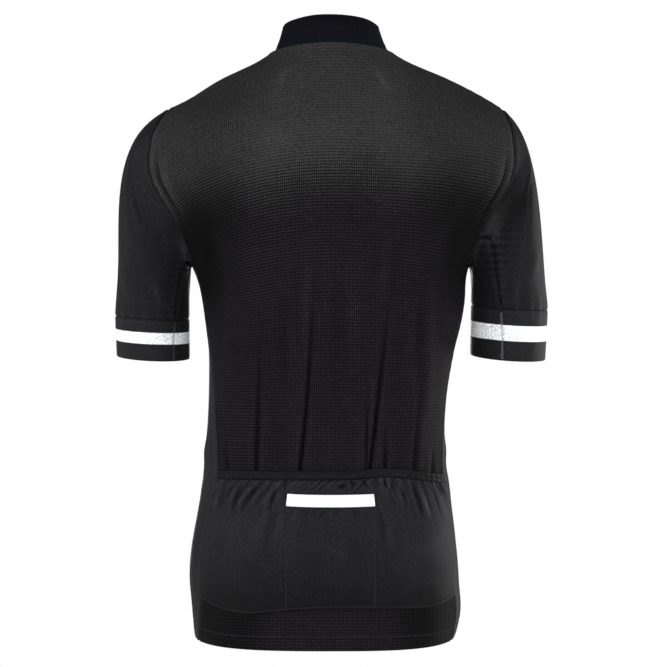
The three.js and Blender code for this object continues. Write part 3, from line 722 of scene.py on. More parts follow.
def beside_armhole(up, from_seam):
    """The strip, crease, lump and hollow inside the armhole's seam."""
    height = np.zeros(np.broadcast(up, from_seam).shape)
    for row in rows_of(BESIDE_ARMHOLE):
        share = hump(up, row["bottom"], row["peak"], row["top"])
        height = height + row["height"] * share * bell(from_seam - row["from_seam"], row["width"])
    return height


def pocket_top(across):
    return BAND_BOTTOM - band_drop(across) - SEAM_GAP


def strip_sag(across):
    return STRIP_SAG * np.maximum(1 - (across / STRIP_HALF_ACROSS) ** 2, 0)


def gather_height(up, x, across):
    """The gathers that run down from the band into the pockets."""
    drop = pocket_top(across) - up
    height = np.zeros(np.broadcast(up, x).shape)
    for gather in rows_of(GATHERS):
        start, end = gather["from"], gather["to"]
        inside = np.clip(np.minimum(x - start, end - x) / GATHER_EDGE, 0, 1)
        turns = gather["count"] * (x + gather["slant"] * drop - start) / (end - start)
        wave = np.abs(np.sin(math.pi * turns))
        uneven = 1 - GATHER_UNEVENNESS * (1 - np.sin(GATHER_BEAT * turns))
        fade = np.exp(-2 * (drop / gather["length"]) ** 2)
        height = height + GATHER_GAIN * gather["height"] * wave * uneven * inside * fade
    return height


def pucker(along, distance, pitch, height, reach):
    """Short ripples along a seam, fading away from it, uneven from one to the next."""
    wave = np.sin(2 * math.pi * along / pitch + 1.3 * np.sin(along / (1.7 * pitch)))
    uneven = 0.65 + 0.35 * np.sin(along / (2.3 * pitch) + 1)
    return height * wave * uneven * np.exp(-distance / reach)


def seam_line(off, dip, dip_width, swell, swell_at, swell_width):
    """A seam's groove, with the cloth swelling beside it."""
    return swell * bell(np.abs(off) - swell_at, swell_width) - dip * bell(off, dip_width)


def sewn_edges(points, edges):
    """Each sewn edge of a grid dips into its seam; the cloth beside it swells and puckers."""
    across, along = lengths_between(points, 1), lengths_between(points, 0)
    reach = {"first": across, "last": across[:, -1:] - across, "bottom": along, "top": along[-1:] - along}
    relief = np.zeros(across.shape)
    for edge in edges:
        run = along if edge in ("first", "last") else across
        relief = relief + seam_line(reach[edge], **PANEL_SEAM)
        relief = relief + pucker(run, reach[edge], **PANEL_PUCKER)
    return relief


def hem_groove(up, around):
    return -HEM_GROOVE * bell(up - HEM_STITCH_UP - hem_up(around), HEM_GROOVE_WIDTH)


def back_relief(up, around, across):
    x = trunk_point(up, around)[..., 0]
    from_seam = (1 - np.abs(across)) * BACK_HALF_WIDTH
    relief = fold_depth(up, x) + creases(BACK_CREASES, x, up) + beside_armhole(up, from_seam)
    puckers = pucker(up, from_seam, **ARMHOLE_PUCKER) * hump(up, *ARMHOLE_PUCKER_UP)
    return relief + puckers + hem_groove(up, around)


def front_relief(up, around, from_zip):
    relief = creases(FRONT_CREASES, from_zip, up) + pucker(up, from_zip, **ZIP_PUCKER)
    return relief + hem_groove(up, around)


def side_relief(up, around, from_back):
    return creases(SIDE_CREASES, from_back, up) + hem_groove(up, around)


def seam_turn(side, run):
    """The turn of a sleeve's own seam, from the armhole down to the cuff's edge."""
    at_top, at_cuff = SLEEVE_SEAM[side]
    return mix(at_top, at_cuff, np.sin(np.clip(run / 2, 0, 1) * math.pi / 2))


def below_cuff_seam(side, run):
    """How far down the tube a run lies below the cuff's seam; above it, that is negative."""
    return (run - run_at(CUFF_SEAM_Z[side])) * (CAP_END_Z - CUFF_END_Z)


def sleeve_relief(side, run, turn):
    up = sleeve_point(side, run, turn)[..., 2] - CUFF_END_Z
    off = (turn - seam_turn(side, run)) * DEGREE_OF_SLEEVE
    relief = creases(SLEEVE_CREASES[side], turn, up) + seam_line(off, **SLEEVE_SEAM_LINE)
    relief = relief + pucker(up, np.abs(off), **SLEEVE_PUCKER)
    above_cuff = np.maximum(-below_cuff_seam(side, run), 0)
    ripple = pucker(turn * DEGREE_OF_SLEEVE, above_cuff, **CUFF_PUCKER)
    ease = np.clip(run / CREASES_FROM_CAP, 0, 1) * np.clip(above_cuff / CREASES_ABOVE_CUFF, 0, 1)
    return relief * ease + ripple - CUFF_DIP * bell(above_cuff, CUFF_DIP_WIDTH)


def cuff_relief(side, run, turn):
    off = (turn - seam_turn(side, run)) * DEGREE_OF_SLEEVE
    down = below_cuff_seam(side, run)
    ripple = pucker(turn * DEGREE_OF_SLEEVE, down, **CUFF_BAND_PUCKER)
    return seam_line(off, **CUFF_SEAM_LINE) + ripple - CUFF_DIP * bell(down, CUFF_DIP_WIDTH)


def softened(grid, axis, times):
    """A grid averaged with its neighbours along one axis, a number of times over."""
    grid = np.moveaxis(grid, axis, 0)
    for _ in range(times):
        before = np.concatenate([grid[:1], grid[:-1]])
        after = np.concatenate([grid[1:], grid[-1:]])
        grid = (before + 2 * grid + after) / 4
    return np.moveaxis(grid, 0, axis)


def painted_crease_shade(relief):
    """How far each place of a relief lies below the cloth around it, from -1 to 1: painted shade in its
    hollows and painted light on its ridges.
    """
    level = softened(softened(relief, 1, HOLLOW_REACH_ACROSS), 0, HOLLOW_REACH_ALONG)
    return np.clip((level - relief) / HOLLOW_DEPTH, -1, 1)


# Meshes


def new_object(name, verts, faces, material, uvs=None, body=GARMENT, hollow=None):
    mesh = bpy.data.meshes.new(name)
    mesh.from_pydata((np.asarray(verts, float) * METRES).tolist(), [], faces)
    mesh.update()
    if uvs is not None:
        layer = mesh.uv_layers.new(name="cloth")
        layer.data.foreach_set("uv", (np.asarray(uvs, np.float32) * METRES).ravel())
    if hollow is not None:
        held = mesh.attributes.new("hollow", "FLOAT", "POINT")
        held.data.foreach_set("value", np.asarray(hollow, np.float32).ravel())
    mesh.shade_smooth()
    mesh.set_sharp_from_angle(angle=math.radians(55))
    mesh.materials.append(material)
    piece = bpy.data.objects.new(name, mesh)
    bpy.context.scene.collection.objects.link(piece)
    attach(piece, body)
    return piece


outer_grids = {}
stitch_height = {}
cuff_seam_distance = {}


def quads(a, b, c, d):
    """Faces of four corners, from four grids of their indices."""
    return np.stack([a.ravel(), b.ravel(), c.ravel(), d.ravel()], axis=1)


def corners(grid):
    """The four corners of every cell of a grid of indices."""
    return grid[:-1, :-1], grid[1:, :-1], grid[1:, 1:], grid[:-1, 1:]


def wall(name, points, normals, thickness, places, material, is_tube=False, hollow=None):
    """A closed wall of cloth between a grid of outer points and the same points moved inward.
    places is the grid's own across and up, which the weave follows. The outer grid is kept, for
    the stitches that go along it."""
    outer_grids[name] = (points, normals)
    rows, columns = points.shape[:2]
    thick = np.broadcast_to(thickness, points.shape[:2]).astype(float)
    rim = np.zeros((rows, columns))
    rim[[0, -1], :] = EDGE_ROUNDING
    if not is_tube:
        rim[:, [0, -1]] = EDGE_ROUNDING
    outer = points - normals * (rim * thick)[..., None]
    inner = points - normals * ((1 - rim) * thick)[..., None]
    verts = np.concatenate([outer.reshape(-1, 3), inner.reshape(-1, 3)])
    count = rows * columns
    index = np.arange(count).reshape(rows, columns)
    if is_tube:
        index = np.concatenate([index, index[:, :1]], axis=1)
        beyond = places[:, -1:] + (places[:, -1:] - places[:, -2:-1])
        places = np.concatenate([places, beyond], axis=1)
    slots = np.arange(index.size).reshape(index.shape)
    a, b, c, d = corners(index)
    p, q, r, s = corners(slots)
    faces = [quads(a, b, c, d), quads(a, d, c, b) + count]
    held = [quads(p, q, r, s), quads(p, s, r, q)]
    whole = slice(None)
    edges = [((0, whole), False), ((-1, whole), True)]
    if not is_tube:
        edges += [((whole, 0), True), ((whole, -1), False)]
    for edge, turned in edges:
        order = -1 if turned else 1
        here, along = (index[edge][:-1], index[edge][1:])[::order]
        spot, next_spot = (slots[edge][:-1], slots[edge][1:])[::order]
        faces.append(quads(here, along, along + count, here + count))
        held.append(quads(spot, next_spot, next_spot, spot))
    faces = np.concatenate(faces)
    uvs = places.reshape(-1, 2)[np.concatenate(held).ravel()]
    if hollow is None:
        hollow = np.zeros((rows, columns))
    return new_object(name, verts, faces.tolist(), material, uvs, hollow=np.stack([hollow, hollow]))


def line_where(name, value, axis=0):
    """The line along a piece's outer grid on which a value passes zero."""
    points, normals = (np.moveaxis(grid, axis, 0) for grid in outer_grids[name])
    value = np.moveaxis(value, axis, 0)
    crossing = value[:-1] * value[1:] <= 0
    along = np.nonzero(crossing.any(axis=0))[0]
    start = crossing.argmax(axis=0)[along]
    here, there = value[start, along], value[start + 1, along]
    part = (here / (here - there))[:, None]
    return tuple(mix(grid[start, along], grid[start + 1, along], part) for grid in (points, normals))


def bar_faces(base, rings, sides):
    """The faces of a closed bar made of rings of vertices, the first of which is base."""
    last = base + (rings - 1) * sides
    faces = []
    for start in range(base, last, sides):
        for k in range(sides):
            here, beside = start + k, start + (k + 1) % sides
            faces.append([here, beside, beside + sides, here + sides])
    faces.append([base + k for k in reversed(range(sides))])
    faces.append([last + k for k in range(sides)])
    return faces


# A stitch's rings: how far along it each lies, and its share of the thread's half thickness
STITCH_SIDES = 6
STITCH_RINGS = ((0, 0.3), (0.2, 1), (0.8, 1), (1, 0.3))


def thread(name, lines, material, slot, pitch, share, radius, lift, swing=0):
    """Stitches along lines of (points, normals), joined in one mesh; swing makes a zigzag."""
    verts, faces = [], []
    for points, normals in lines:
        runs = lengths_between(points, 0)
        count = max(int(runs[-1] / pitch), 1)
        at = np.linspace(0, runs[-1], count + 1)
        spots = read_along(runs, at, points)
        ups = unit(read_along(runs, at, normals))
        aside_by = unit(np.cross(ups, np.gradient(spots, axis=0)))
        swung = spots + aside_by * (swing * (-1.0) ** np.arange(count + 1))[:, None] + ups * lift
        for i in range(count):
            start, stop = swung[i], mix(swung[i], swung[i + 1], share)
            along = unit(stop - start)
            side = unit(np.cross(ups[i], along))
            top = np.cross(along, side)
            faces += bar_faces(len(verts), len(STITCH_RINGS), STITCH_SIDES)
            for part, width in STITCH_RINGS:
                centre = mix(start, stop, part)
                for k in range(STITCH_SIDES):
                    angle = 2 * math.pi * k / STITCH_SIDES
                    reach = side * math.cos(angle) + top * math.sin(angle)
                    verts.append(centre + reach * radius * width)
    return new_object(name, verts, faces, material)


# Materials

# Between these levels lies most of a noise
NOISE_LOW = 0.3
NOISE_HIGH = 0.7
NOISE_ROUGHNESS = 0.55


class Value:
    """One output of a shader node. Arithmetic on it adds Math nodes."""

    def __init__(self, finish, socket):
        self.finish = finish
        self.socket = socket

    def math(self, operation, *numbers):
        return self.finish.node("ShaderNodeMath", {"operation": operation}, dict(enumerate(numbers)))

    def __add__(self, other):
        return self.math("ADD", self, other)

    def __sub__(self, other):
        return self.math("SUBTRACT", self, other)

    def __mul__(self, other):
        return self.math("MULTIPLY", self, other)

    def __truediv__(self, other):
        return self.math("DIVIDE", self, other)

    def __rsub__(self, other):
        return self.math("SUBTRACT", other, self)

    __radd__ = __add__
    __rmul__ = __mul__


class Finish:
    """A procedural material of one of the jersey's cloths or metals."""

    def __init__(self, name, roughness, specular, sheen=0.0, metallic=0.0):
        self.material = bpy.data.materials.new(name)
        self.material.use_nodes = True
        self.tree = self.material.node_tree
        self.surface = self.tree.nodes["Principled BSDF"]
        self.surface.inputs["Roughness"].default_value = roughness
        self.surface.inputs["Specular IOR Level"].default_value = specular
        self.surface.inputs["Metallic"].default_value = metallic
        self.surface.inputs["Sheen Weight"].default_value = sheen
        self.surface.inputs["Sheen Roughness"].default_value = 0.4

    def node(self, kind, settings=None, inputs=None, output=0):
        """Adds a node, with its settings first and then the values or links of its sockets."""
        made = self.tree.nodes.new(kind)
        for name, setting in (settings or {}).items():
            setattr(made, name, setting)
        for name, given in (inputs or {}).items():
            if isinstance(given, Value):
                self.tree.links.new(given.socket, made.inputs[name])
            else:
                made.inputs[name].default_value = given
        return Value(self, made.outputs[output])

    def place(self):
        """The across and the up of the cloth, in millimetres."""
        uv = self.node("ShaderNodeUVMap", {"uv_map": "cloth"})
        across = self.node("ShaderNodeSeparateXYZ", inputs={"Vector": uv}, output="X")
        up = self.node("ShaderNodeSeparateXYZ", inputs={"Vector": uv}, output="Y")
        return across / METRES, up / METRES

    def hollow(self, strength):
        """Painted shade and light: a tone that darkens the cloth's hollows and pales its ridges, as light
        falls across creases.
        """
        depth = self.node("ShaderNodeAttribute", {"attribute_name": "hollow"}, output="Fac")
        return 1 - depth * strength

    def noise(self, scale, detail=3.0):
        """Noise in space, for what isn't part of the weave."""
        place = self.node("ShaderNodeTexCoord", output="Object")
        levels = {"Vector": place, "Scale": scale, "Detail": detail, "Roughness": NOISE_ROUGHNESS}
        return self.node("ShaderNodeTexNoise", inputs=levels)

    def sine(self, value):
        return self.node("ShaderNodeMath", {"operation": "SINE"}, {0: value})

    def wave(self, value, pitch):
        """A sine wave along a value, one turn to each pitch."""
        return self.sine(value * (2 * math.pi / pitch))

    def step(self, value, low, high, start=0.0, end=1.0):
        """Goes smoothly from start to end while the value goes from low to high."""
        levels = {"Value": value, "From Min": low, "From Max": high, "To Min": start, "To Max": end}
        return self.node("ShaderNodeMapRange", {"interpolation_type": "SMOOTHSTEP"}, levels)

    def uneven(self, noise, least, most):
        """A noise as a tone between two levels."""
        return self.step(noise, NOISE_LOW, NOISE_HIGH, least, most)

    def blend(self, mask, first, second):
        """A colour between two colours."""
        return self.node("ShaderNodeMix", {"data_type": "RGBA"}, {0: mask, 6: first, 7: second}, output=2)

    def shade(self, mask, colour):
        """A colour made lighter or darker by a mask."""
        scaled = {"Vector": colour if isinstance(colour, Value) else colour[:3], "Scale": mask}
        return self.node("ShaderNodeVectorMath", {"operation": "SCALE"}, scaled)

    def feed(self, name, value):
        self.tree.links.new(value.socket, self.surface.inputs[name])

    def bump(self, height, strength, distance):
        levels = {"Height": height, "Strength": strength, "Distance": distance}
        self.feed("Normal", self.node("ShaderNodeBump", inputs=levels))


def colour(*levels):
    """A colour given as a screen shows it, from 0 to 255, as the light it stands for."""
    light = [((level / 255 + 0.055) / 1.055) ** 2.4 if level > 10 else level / 3294 for level in levels]
    return (*light, 1.0)


# The pitches of the knits, in millimetres
MESH_ROW = 3.6
MESH_COLUMN = 2.45
SMOOTH_WALE = 0.9
SMOOTH_COURSE = 1.1
CUFF_RIB = 1.3
COLLAR_RIB = 1.6
STRIP_WEAVE = 0.8


def mesh_knit():
    """Back panel: fine columns that fade towards the sides and rows that grow stronger up the back,
    with small dark holes. Over the shoulders both are faint, and the yarn is painted paler as light from
    above falls on it; towards the underarms it is darker as painted shadow, and at the hem's two ends."""
    knit = Finish("mesh_knit", 0.6, 0.04, sheen=0.01)
    across, up = knit.place()
    soft = knit.noise(9.0, 2.0)
    fuzz = knit.noise(520.0)
    aside_by = across.math("ABSOLUTE", across)
    wander = knit.noise(22.0)
    patchy = knit.step(knit.noise(230.0, 2.0), 0.35, 0.65, 0.72, 1.15)
    columns = knit.wave(across + wander * 2, MESH_COLUMN)
    rows = knit.wave(up + wander * 2, MESH_ROW)
    # Painted light: the upper back's yarn is made paler where light from above falls on it
    high = knit.step(up + soft * 40, 520.0, 632.0)
    flank = knit.step(aside_by + wander * 60, 70.0, 135.0)
    rise = knit.step(up, 330.0, 470.0)
    calm = knit.step(across, -70.0, -20.0, 0.72, 1.0)
    weave = columns * (0.85 - flank * 0.35 - high * 0.78)
    weave = weave + rows * patchy * calm * (0.62 + rise * 0.26 - high * 0.72)
    holes = knit.step(weave, 0.1, 0.75)
    ribs = knit.step(weave, -0.9, 0.8, 2.3, 0.35)
    # Painted shadow: the knit darkens towards the underarms, more strongly on the left than on the right
    underarm_shadow = knit.step(aside_by, 86.0, 160.0) * knit.step(up, 375.0, 465.0)
    underarm_shadow = underarm_shadow * knit.step(up, 520.0, 600.0, 1.0, 0.0)
    # Painted shade: the upper back darkens towards its sides, where the painted light over it fades
    shoulder_shade = knit.step(aside_by, 50.0, 130.0) * knit.step(up, 480.0, 540.0)
    left = knit.step(across, -20.0, 20.0, 0.58, 0.8)
    hem = knit.step(up, 52.0, 66.0, 1.0, 0.0) * knit.step(aside_by, 60.0, 98.0)
    cloud = knit.step(soft, 0.35, 0.65, 0.9, 1.1)
    tone = cloud * ribs * (1 - underarm_shadow * left) * (1 - hem * 0.5) * (1 - shoulder_shade * 0.22)
    # Painted shade in the back's hollows and painted light on its ridges
    tone = tone * knit.hollow(0.5) * knit.uneven(fuzz, 0.62, 1.38)
    # The dark yarn, turned paler over the upper back by the painted light from above
    strands = knit.shade(tone, knit.blend(high, colour(17, 15, 17), colour(40, 40, 40)))
    knit.feed("Base Color", knit.blend(holes * 0.9, strands, colour(6, 6, 7)))
    knit.bump(ribs * 0.5 + fuzz * 0.2 - holes, 0.8, 0.0006)
    return knit.material


def smooth_knit(name, base, low=None, depth=0.65):
    """Side panels, fronts, sleeves and pockets: a fine smooth knit. low is a height that the
    cloth darkens towards as painted shade, with how far above it that starts and how much is left
    there. depth is how strongly its hollows show as painted shade."""
    knit = Finish(name, 0.5, 0.06, sheen=0.02)
    across, up = knit.place()
    wales = knit.wave(across, SMOOTH_WALE)
    courses = knit.wave(up, SMOOTH_COURSE)
    soft = knit.noise(14.0)
    fuzz = knit.noise(900.0)
    slub = knit.noise(380.0)
    tone = knit.uneven(soft, 0.88, 1.12) * knit.uneven(slub, 0.62, 1.38) * knit.uneven(fuzz, 0.78, 1.22)
    # Painted shade in the cloth's hollows and painted light on its ridges
    tone = tone * knit.step(wales + courses, -2.0, 2.0, 0.84, 1.16) * knit.hollow(depth)
    # Painted shade that darkens the cloth towards a low height
    if low:
        height, reach, left = low
        tone = tone * knit.step(up + soft * 20, height, height + reach, left, 1.0)
    knit.feed("Base Color", knit.shade(tone, base))
    knit.bump(wales * 0.3 + courses * 0.3 + fuzz * 0.5, 0.4, 0.0003)
    return knit.material


def cuff_knit(side):
    """Cuffs: an elastic band with one woven white stripe."""
    knit = Finish(f"cuff_band_{side}", 0.5, 0.07, sheen=0.02)
    across, down = knit.place()
    start, end = CUFF_STRIPE[side]
    ribs = knit.wave(across, CUFF_RIB)
    fuzz = knit.noise(480.0)
    soft = STRIPE_SOFTNESS
    stripe = knit.step(down, start - soft, start + soft) * knit.step(down, end - soft, end + soft, 1.0, 0.0)
    tone = knit.step(ribs, -1.0, 1.0, 0.88, 1.08) * knit.uneven(fuzz, 0.7, 1.3)
    base = knit.blend(stripe, colour(26, 25, 27), colour(232, 236, 240))
    knit.feed("Base Color", knit.shade(tone, base))
    knit.bump(ribs * 0.5 + fuzz * 0.3, 0.4, 0.0003)
    return knit.material


def collar_knit():
    """Collar: a dense, very dark blue knit with fine upright ribs, and a bluer painted highlight along its
    base seam.
    """
    knit = Finish("collar_knit", 0.7, 0.03, sheen=0.0)
    across, rise = knit.place()
    ribs = knit.wave(across, COLLAR_RIB)
    fuzz = knit.noise(480.0)
    # Painted highlight: a paler, bluer band along the collar's base seam
    seam_highlight = knit.step(rise, 1.5, 4.5, 1.0, 0.0)
    tone = knit.step(ribs, -1.0, 1.0, 0.75, 1.2) * knit.uneven(fuzz, 0.7, 1.3)
    base = knit.blend(seam_highlight, colour(13, 13, 19), colour(13, 16, 24))
    knit.feed("Base Color", knit.shade(tone, base))
    knit.bump(ribs * 0.4 + fuzz * 0.3, 0.4, 0.0003)
    return knit.material


def reflective_tape():
    """Reflective strip: a pale heat-bonded film over fine cloth."""
    tape = Finish("reflective_tape", 0.45, 0.5)
    across, up = tape.place()
    weave = tape.wave(across, STRIP_WEAVE) + tape.wave(up, STRIP_WEAVE)
    soft = tape.noise(60.0)
    tone = tape.uneven(soft, 0.94, 1.0) * tape.step(weave, -2.0, 2.0, 0.96, 1.0)
    tape.feed("Base Color", tape.shade(tone, colour(222, 226, 228)))
    tape.bump(weave, 0.15, 0.0002)
    return tape.material


def zip_tape_weave():
    """Zip tapes: a tight herringbone ribbon."""
    tape = Finish("zip_tape", 0.75, 0.2, sheen=0.1)
    across, up = tape.place()
    bones = tape.sine(tape.sine(across * 1.6) * 2.5 + up * 5.0)
    tape.feed("Base Color", tape.blend(tape.step(bones, -1.0, 1.0), colour(22, 22, 24), colour(34, 34, 37)))
    tape.bump(bones, 0.3, 0.0003)
    return tape.material


def worn_part(name, base, edge, roughness, metallic):
    """Zip coil and slider: smooth, with slightly brighter worn places."""
    part = Finish(name, roughness, 0.5, metallic=metallic)
    wear = part.step(part.noise(260.0, 4.0), 0.5, 0.7)
    part.feed("Base Color", part.blend(wear, base, edge))
    part.feed("Roughness", part.uneven(part.noise(500.0, 2.0), roughness - 0.08, roughness + 0.1))
    return part.material


def yarn(name, base):
    """Sewing thread: two strands that twist along it."""
    strand = Finish(name, 0.7, 0.25, sheen=0.1)
    twist = strand.step(strand.noise(1500.0, 1.0), 0.35, 0.65, 0.75, 1.2)
    strand.feed("Base Color", strand.shade(twist, base))
    return strand.material


def floor_paint():
    paint = Finish("floor", 0.9, 0.1)
    tone = paint.uneven(paint.noise(1.5, 2.0), 0.985, 1.0)
    paint.feed("Base Color", paint.shade(tone, colour(244, 244, 244)))
    return paint.material


MESH = mesh_knit()
SMOOTH = smooth_knit("smooth_knit", colour(25, 24, 26))
SLEEVE = smooth_knit("sleeve_knit", colour(22, 21, 23), depth=0.8)
# The pockets darken towards their lower edge as painted shade
POCKET = smooth_knit("pocket_knit", colour(26, 25, 28), (40.0, 116.0, 0.26), 1.0)
BAND_LOOK = smooth_knit("band_knit", colour(15, 14, 16), depth=0.9)
COLLAR_LOOK = collar_knit()
TAPE_LOOK = zip_tape_weave()
COIL_LOOK = worn_part("zip_coil", colour(24, 24, 26), colour(40, 40, 43), 0.4, 0.0)
METAL_LOOK = worn_part("zip_metal", colour(52, 52, 55), colour(110, 110, 114), 0.35, 0.9)
STRIP_LOOK = reflective_tape()
DARK_YARN = yarn("dark_thread", colour(40, 39, 42))
HEM_YARN = yarn("hem_thread", colour(47, 47, 54))
POCKET_YARN = yarn("pocket_thread", colour(36, 36, 42))
PALE_YARN = {
    "left": yarn("blue_thread", colour(70, 72, 92)),
    "right": yarn("pale_thread", colour(112, 120, 138)),
}


# The trunk's panels

LOWER_PARTS = np.linspace(0, 1, LOWER_ROWS + 1)


def panel_rows(side, seam_below, turns, gap):
    """The rows that the panels share: their place up the middle of a panel, and their end."""
    corner_up, corner_around = armhole(side, turns[0], SEAM_GAP / 2)
    lower = LOWER_PARTS[:-1]
    line_up, line_around = seam_below(lower, corner_up, corner_around)
    lower_end = aside(side, line_up, line_around, gap)
    beside_up, beside_around = armhole(side, turns, SEAM_GAP / 2)
    shift = np.zeros(len(turns))
    shift[[0, -1]] = gap
    beside_end = aside(side, beside_up, beside_around, shift)
    beside_middle = np.linspace(corner_up - ROW_FAN, ARMHOLE_TOP_UP + ROW_FAN, len(turns))
    top = NECK_UP - SEAM_GAP / 2
    above = np.linspace(0, 1, SHOULDER_ROWS + 1)[1:]
    above_up = mix(ARMHOLE_TOP_UP, top, above)
    above_end = aside(side, above_up, np.full(SHOULDER_ROWS, float(ARMHOLE_AROUND)), gap)
    lower_middle = lower * (corner_up - ROW_FAN)
    above_middle = mix(ARMHOLE_TOP_UP + ROW_FAN, top, above)
    return {
        "middle": np.concatenate([lower_middle, beside_middle, above_middle]),
        "up": np.concatenate([line_up, beside_up, above_up]),
        "around": np.concatenate([lower_end, beside_end, above_end]),
        "part": np.concatenate([lower, np.ones(len(turns) + SHOULDER_ROWS)]),
    }


def turns_between(start, end):
    return np.linspace(start, end, round(abs(end - start) / ARMHOLE_STEP) + 1)


def back_seam(side):
    def line(part, _corner_up, _corner_around):
        up = mix(hem_up(SIDE_SEAMS[side][0]), UNDERARM_UP, part)
        return up, side_seam(up)[side]

    return line


def front_seam(part, corner_up, corner_around):
    around = mix(FRONT_SEAM_AT_HEM, corner_around, part)
    return mix(hem_up(around), corner_up, part), around


def hem_thickness(up, around):
    """The turned-up hem is doubled."""
    above = up - hem_up(around) - HEM_STITCH_UP
    return mix(HEM_CLOTH, CLOTH, np.clip(above / 2 + 0.5, 0, 1))


def mirrored(side, *grids):
    """The right side's grids run the other way, so that their walls face outward too."""
    return [grid[:, ::-1] for grid in grids] if side == "right" else grids


def lay_on_trunk(name, up, around, relief, thickness, material, across_from=0.5, arc=None, sewn=()):
    """A wall on the trunk's form. The weave's across runs from a share of the way along a row, and
    its rows hang in arcs of two radii, left and right, or level without them."""
    normals = trunk_normal(up, around)
    relief = relief + sewn_edges(trunk_point(up, around), sewn)
    points = trunk_point(up, around) + normals * relief[..., None]
    runs = lengths_between(points, 1)
    start = runs[:, round(across_from * (runs.shape[1] - 1))][:, None]
    across = runs - start
    rows = up + 0 * across
    if arc:
        radius = np.where(across > 0, arc["left"], arc["right"])
        low, high = MESH_ARC_UP
        rows = rows + across**2 / radius * np.clip((up - low) / (high - low), 0, 1)
    places = np.stack([across, rows], axis=-1)
    stitch_height[name] = up - hem_up(around) - HEM_STITCH_UP
    return wall(name, points, normals, thickness, places, material, hollow=painted_crease_shade(relief))


def back_panel():
    turns = turns_between(UNDERARM_TURN, 0)
    left = panel_rows("left", back_seam("left"), turns, -SEAM_GAP / 2)
    right = panel_rows("right", back_seam("right"), turns, -SEAM_GAP / 2)
    across = np.broadcast_to(np.linspace(-1, 1, BACK_COLUMNS + 1), (len(left["up"]), BACK_COLUMNS + 1))
    end_up = np.where(across < 0, right["up"][:, None], left["up"][:, None])
    end_around = np.where(across < 0, right["around"][:, None], left["around"][:, None])
    up = mix(left["middle"][:, None], end_up, across**2)
    around = across * end_around
    relief = back_relief(up, around, across)
    thickness = hem_thickness(up, around)
    return lay_on_trunk(
        "back_panel_cloth",
        up,
        around,
        relief,
        thickness,
        MESH,
        arc=MESH_ARC,
        sewn=("first", "last", "top"),
    )


def front_places(side):
    turns = turns_between(FRONT_SEAM_TURN, 360)
    rows = panel_rows(side, front_seam, turns, SEAM_GAP / 2)
    zip_up = rows["middle"] + HEM_FRONT_RISE * (1 - rows["part"])
    zip_around = front_around(trunk_ring(zip_up), side, ZIP_FRONT_EDGE)
    part = closer_at_ends(FRONT_COLUMNS)
    up = mix(rows["up"][:, None], zip_up[:, None], 1 - (1 - part) ** 2)
    around = mix(rows["around"][:, None], zip_around[:, None], part)
    return up, around


def front_panel(side):
    up, around = front_places(side)
    signed = SIGN[side] * around
    from_zip = np.abs(trunk_point(up, signed)[..., 0]) - ZIP_FRONT_EDGE
    relief = front_relief(up, signed, from_zip)
    zip_side, seam = (1, "first") if side == "left" else (0, "last")
    up, signed, relief = mirrored(side, up, signed, relief)
    return lay_on_trunk(
        f"front_{side}_cloth",
        up,
        signed,
        relief,
        hem_thickness(up, signed),
        SMOOTH,
        across_from=zip_side,
        sewn=("top", seam),
    )


def side_panel(side):
    corner_up, corner_around = armhole(side, FRONT_SEAM_TURN, SEAM_GAP / 2)
    turns = mix(UNDERARM_TURN, FRONT_SEAM_TURN, closer_at_ends(SIDE_COLUMNS))
    tops_up, tops_around = armhole(side, turns, SEAM_GAP / 2)
    back_up, back_around = back_seam(side)(LOWER_PARTS, corner_up, corner_around)
    seam_up, seam_around = front_seam(LOWER_PARTS, corner_up, corner_around)
    back = aside(side, back_up, back_around, SEAM_GAP / 2)[:, None]
    front = aside(side, seam_up, seam_around, -SEAM_GAP / 2)[:, None]
    share = (tops_around - tops_around[0]) / (corner_around - tops_around[0])
    around = mix(back, front, share)
    up = mix(hem_up(around), tops_up, LOWER_PARTS[:, None])
    signed = SIGN[side] * around
    from_back = lengths_between(trunk_point(up, signed), 1)
    relief = side_relief(up, signed, from_back)
    back_side = 0 if side == "left" else 1
    up, signed, relief = mirrored(side, up, signed, relief)
    return lay_on_trunk(
        f"side_panel_{side}_cloth",
        up,
        signed,
        relief,
        hem_thickness(up, signed),
        SMOOTH,
        across_from=back_side,
        sewn=("first", "last", "top"),
    )


# The sleeves and their cuff bands


SLEEVE_TURNS = np.linspace(0, 360, SLEEVE_COLUMNS + 1)[:-1]


def sleeve_wall(name, side, runs, relief, thickness, material):
    """A tube of cloth on the sleeve's form, between the first and the last of its runs."""
    run, turn = np.meshgrid(runs, SLEEVE_TURNS, indexing="ij")
    normals = sleeve_normal(side, run, turn)
    bare = sleeve_point(side, run, turn)
    raised = relief(side, run, turn)
    if runs[0] == 0:
        raised = raised + sewn_edges(bare, ("bottom",))
    points = bare + normals * raised[..., None]
    down = lengths_between(points, 0)
    places = np.stack([turn * DEGREE_OF_SLEEVE, down], axis=-1)
    points, normals, places, hollow = mirrored(side, points, normals, places, painted_crease_shade(raised))
    return wall(name, points, normals, thickness, places, material, is_tube=True, hollow=hollow)


def sleeve(side):
    cap = np.linspace(0, 1, CAP_ROWS + 1) ** CAP_ROW_CROWDING
    end = run_at(CUFF_SEAM_Z[side] + SEAM_GAP / 2)
    below = mix(1, end, np.linspace(0, 1, SLEEVE_ROWS + 1)[1:])
    name, runs = f"sleeve_{side}_cloth", np.concatenate([cap, below])
    return sleeve_wall(name, side, runs, sleeve_relief, CLOTH, SLEEVE)


def cuff(side):
    start = run_at(CUFF_SEAM_Z[side] - SEAM_GAP / 2)
    runs = np.linspace(start, 2, CUFF_ROWS + 1)
    (cuff_seam_distance[side],) = mirrored(side, SLEEVE_TURNS - seam_turn(side, runs)[:, None])
    name, material = f"cuff_{side}_band", cuff_knit(side)
    return sleeve_wall(name, side, runs, cuff_relief, CUFF_CLOTH, material)


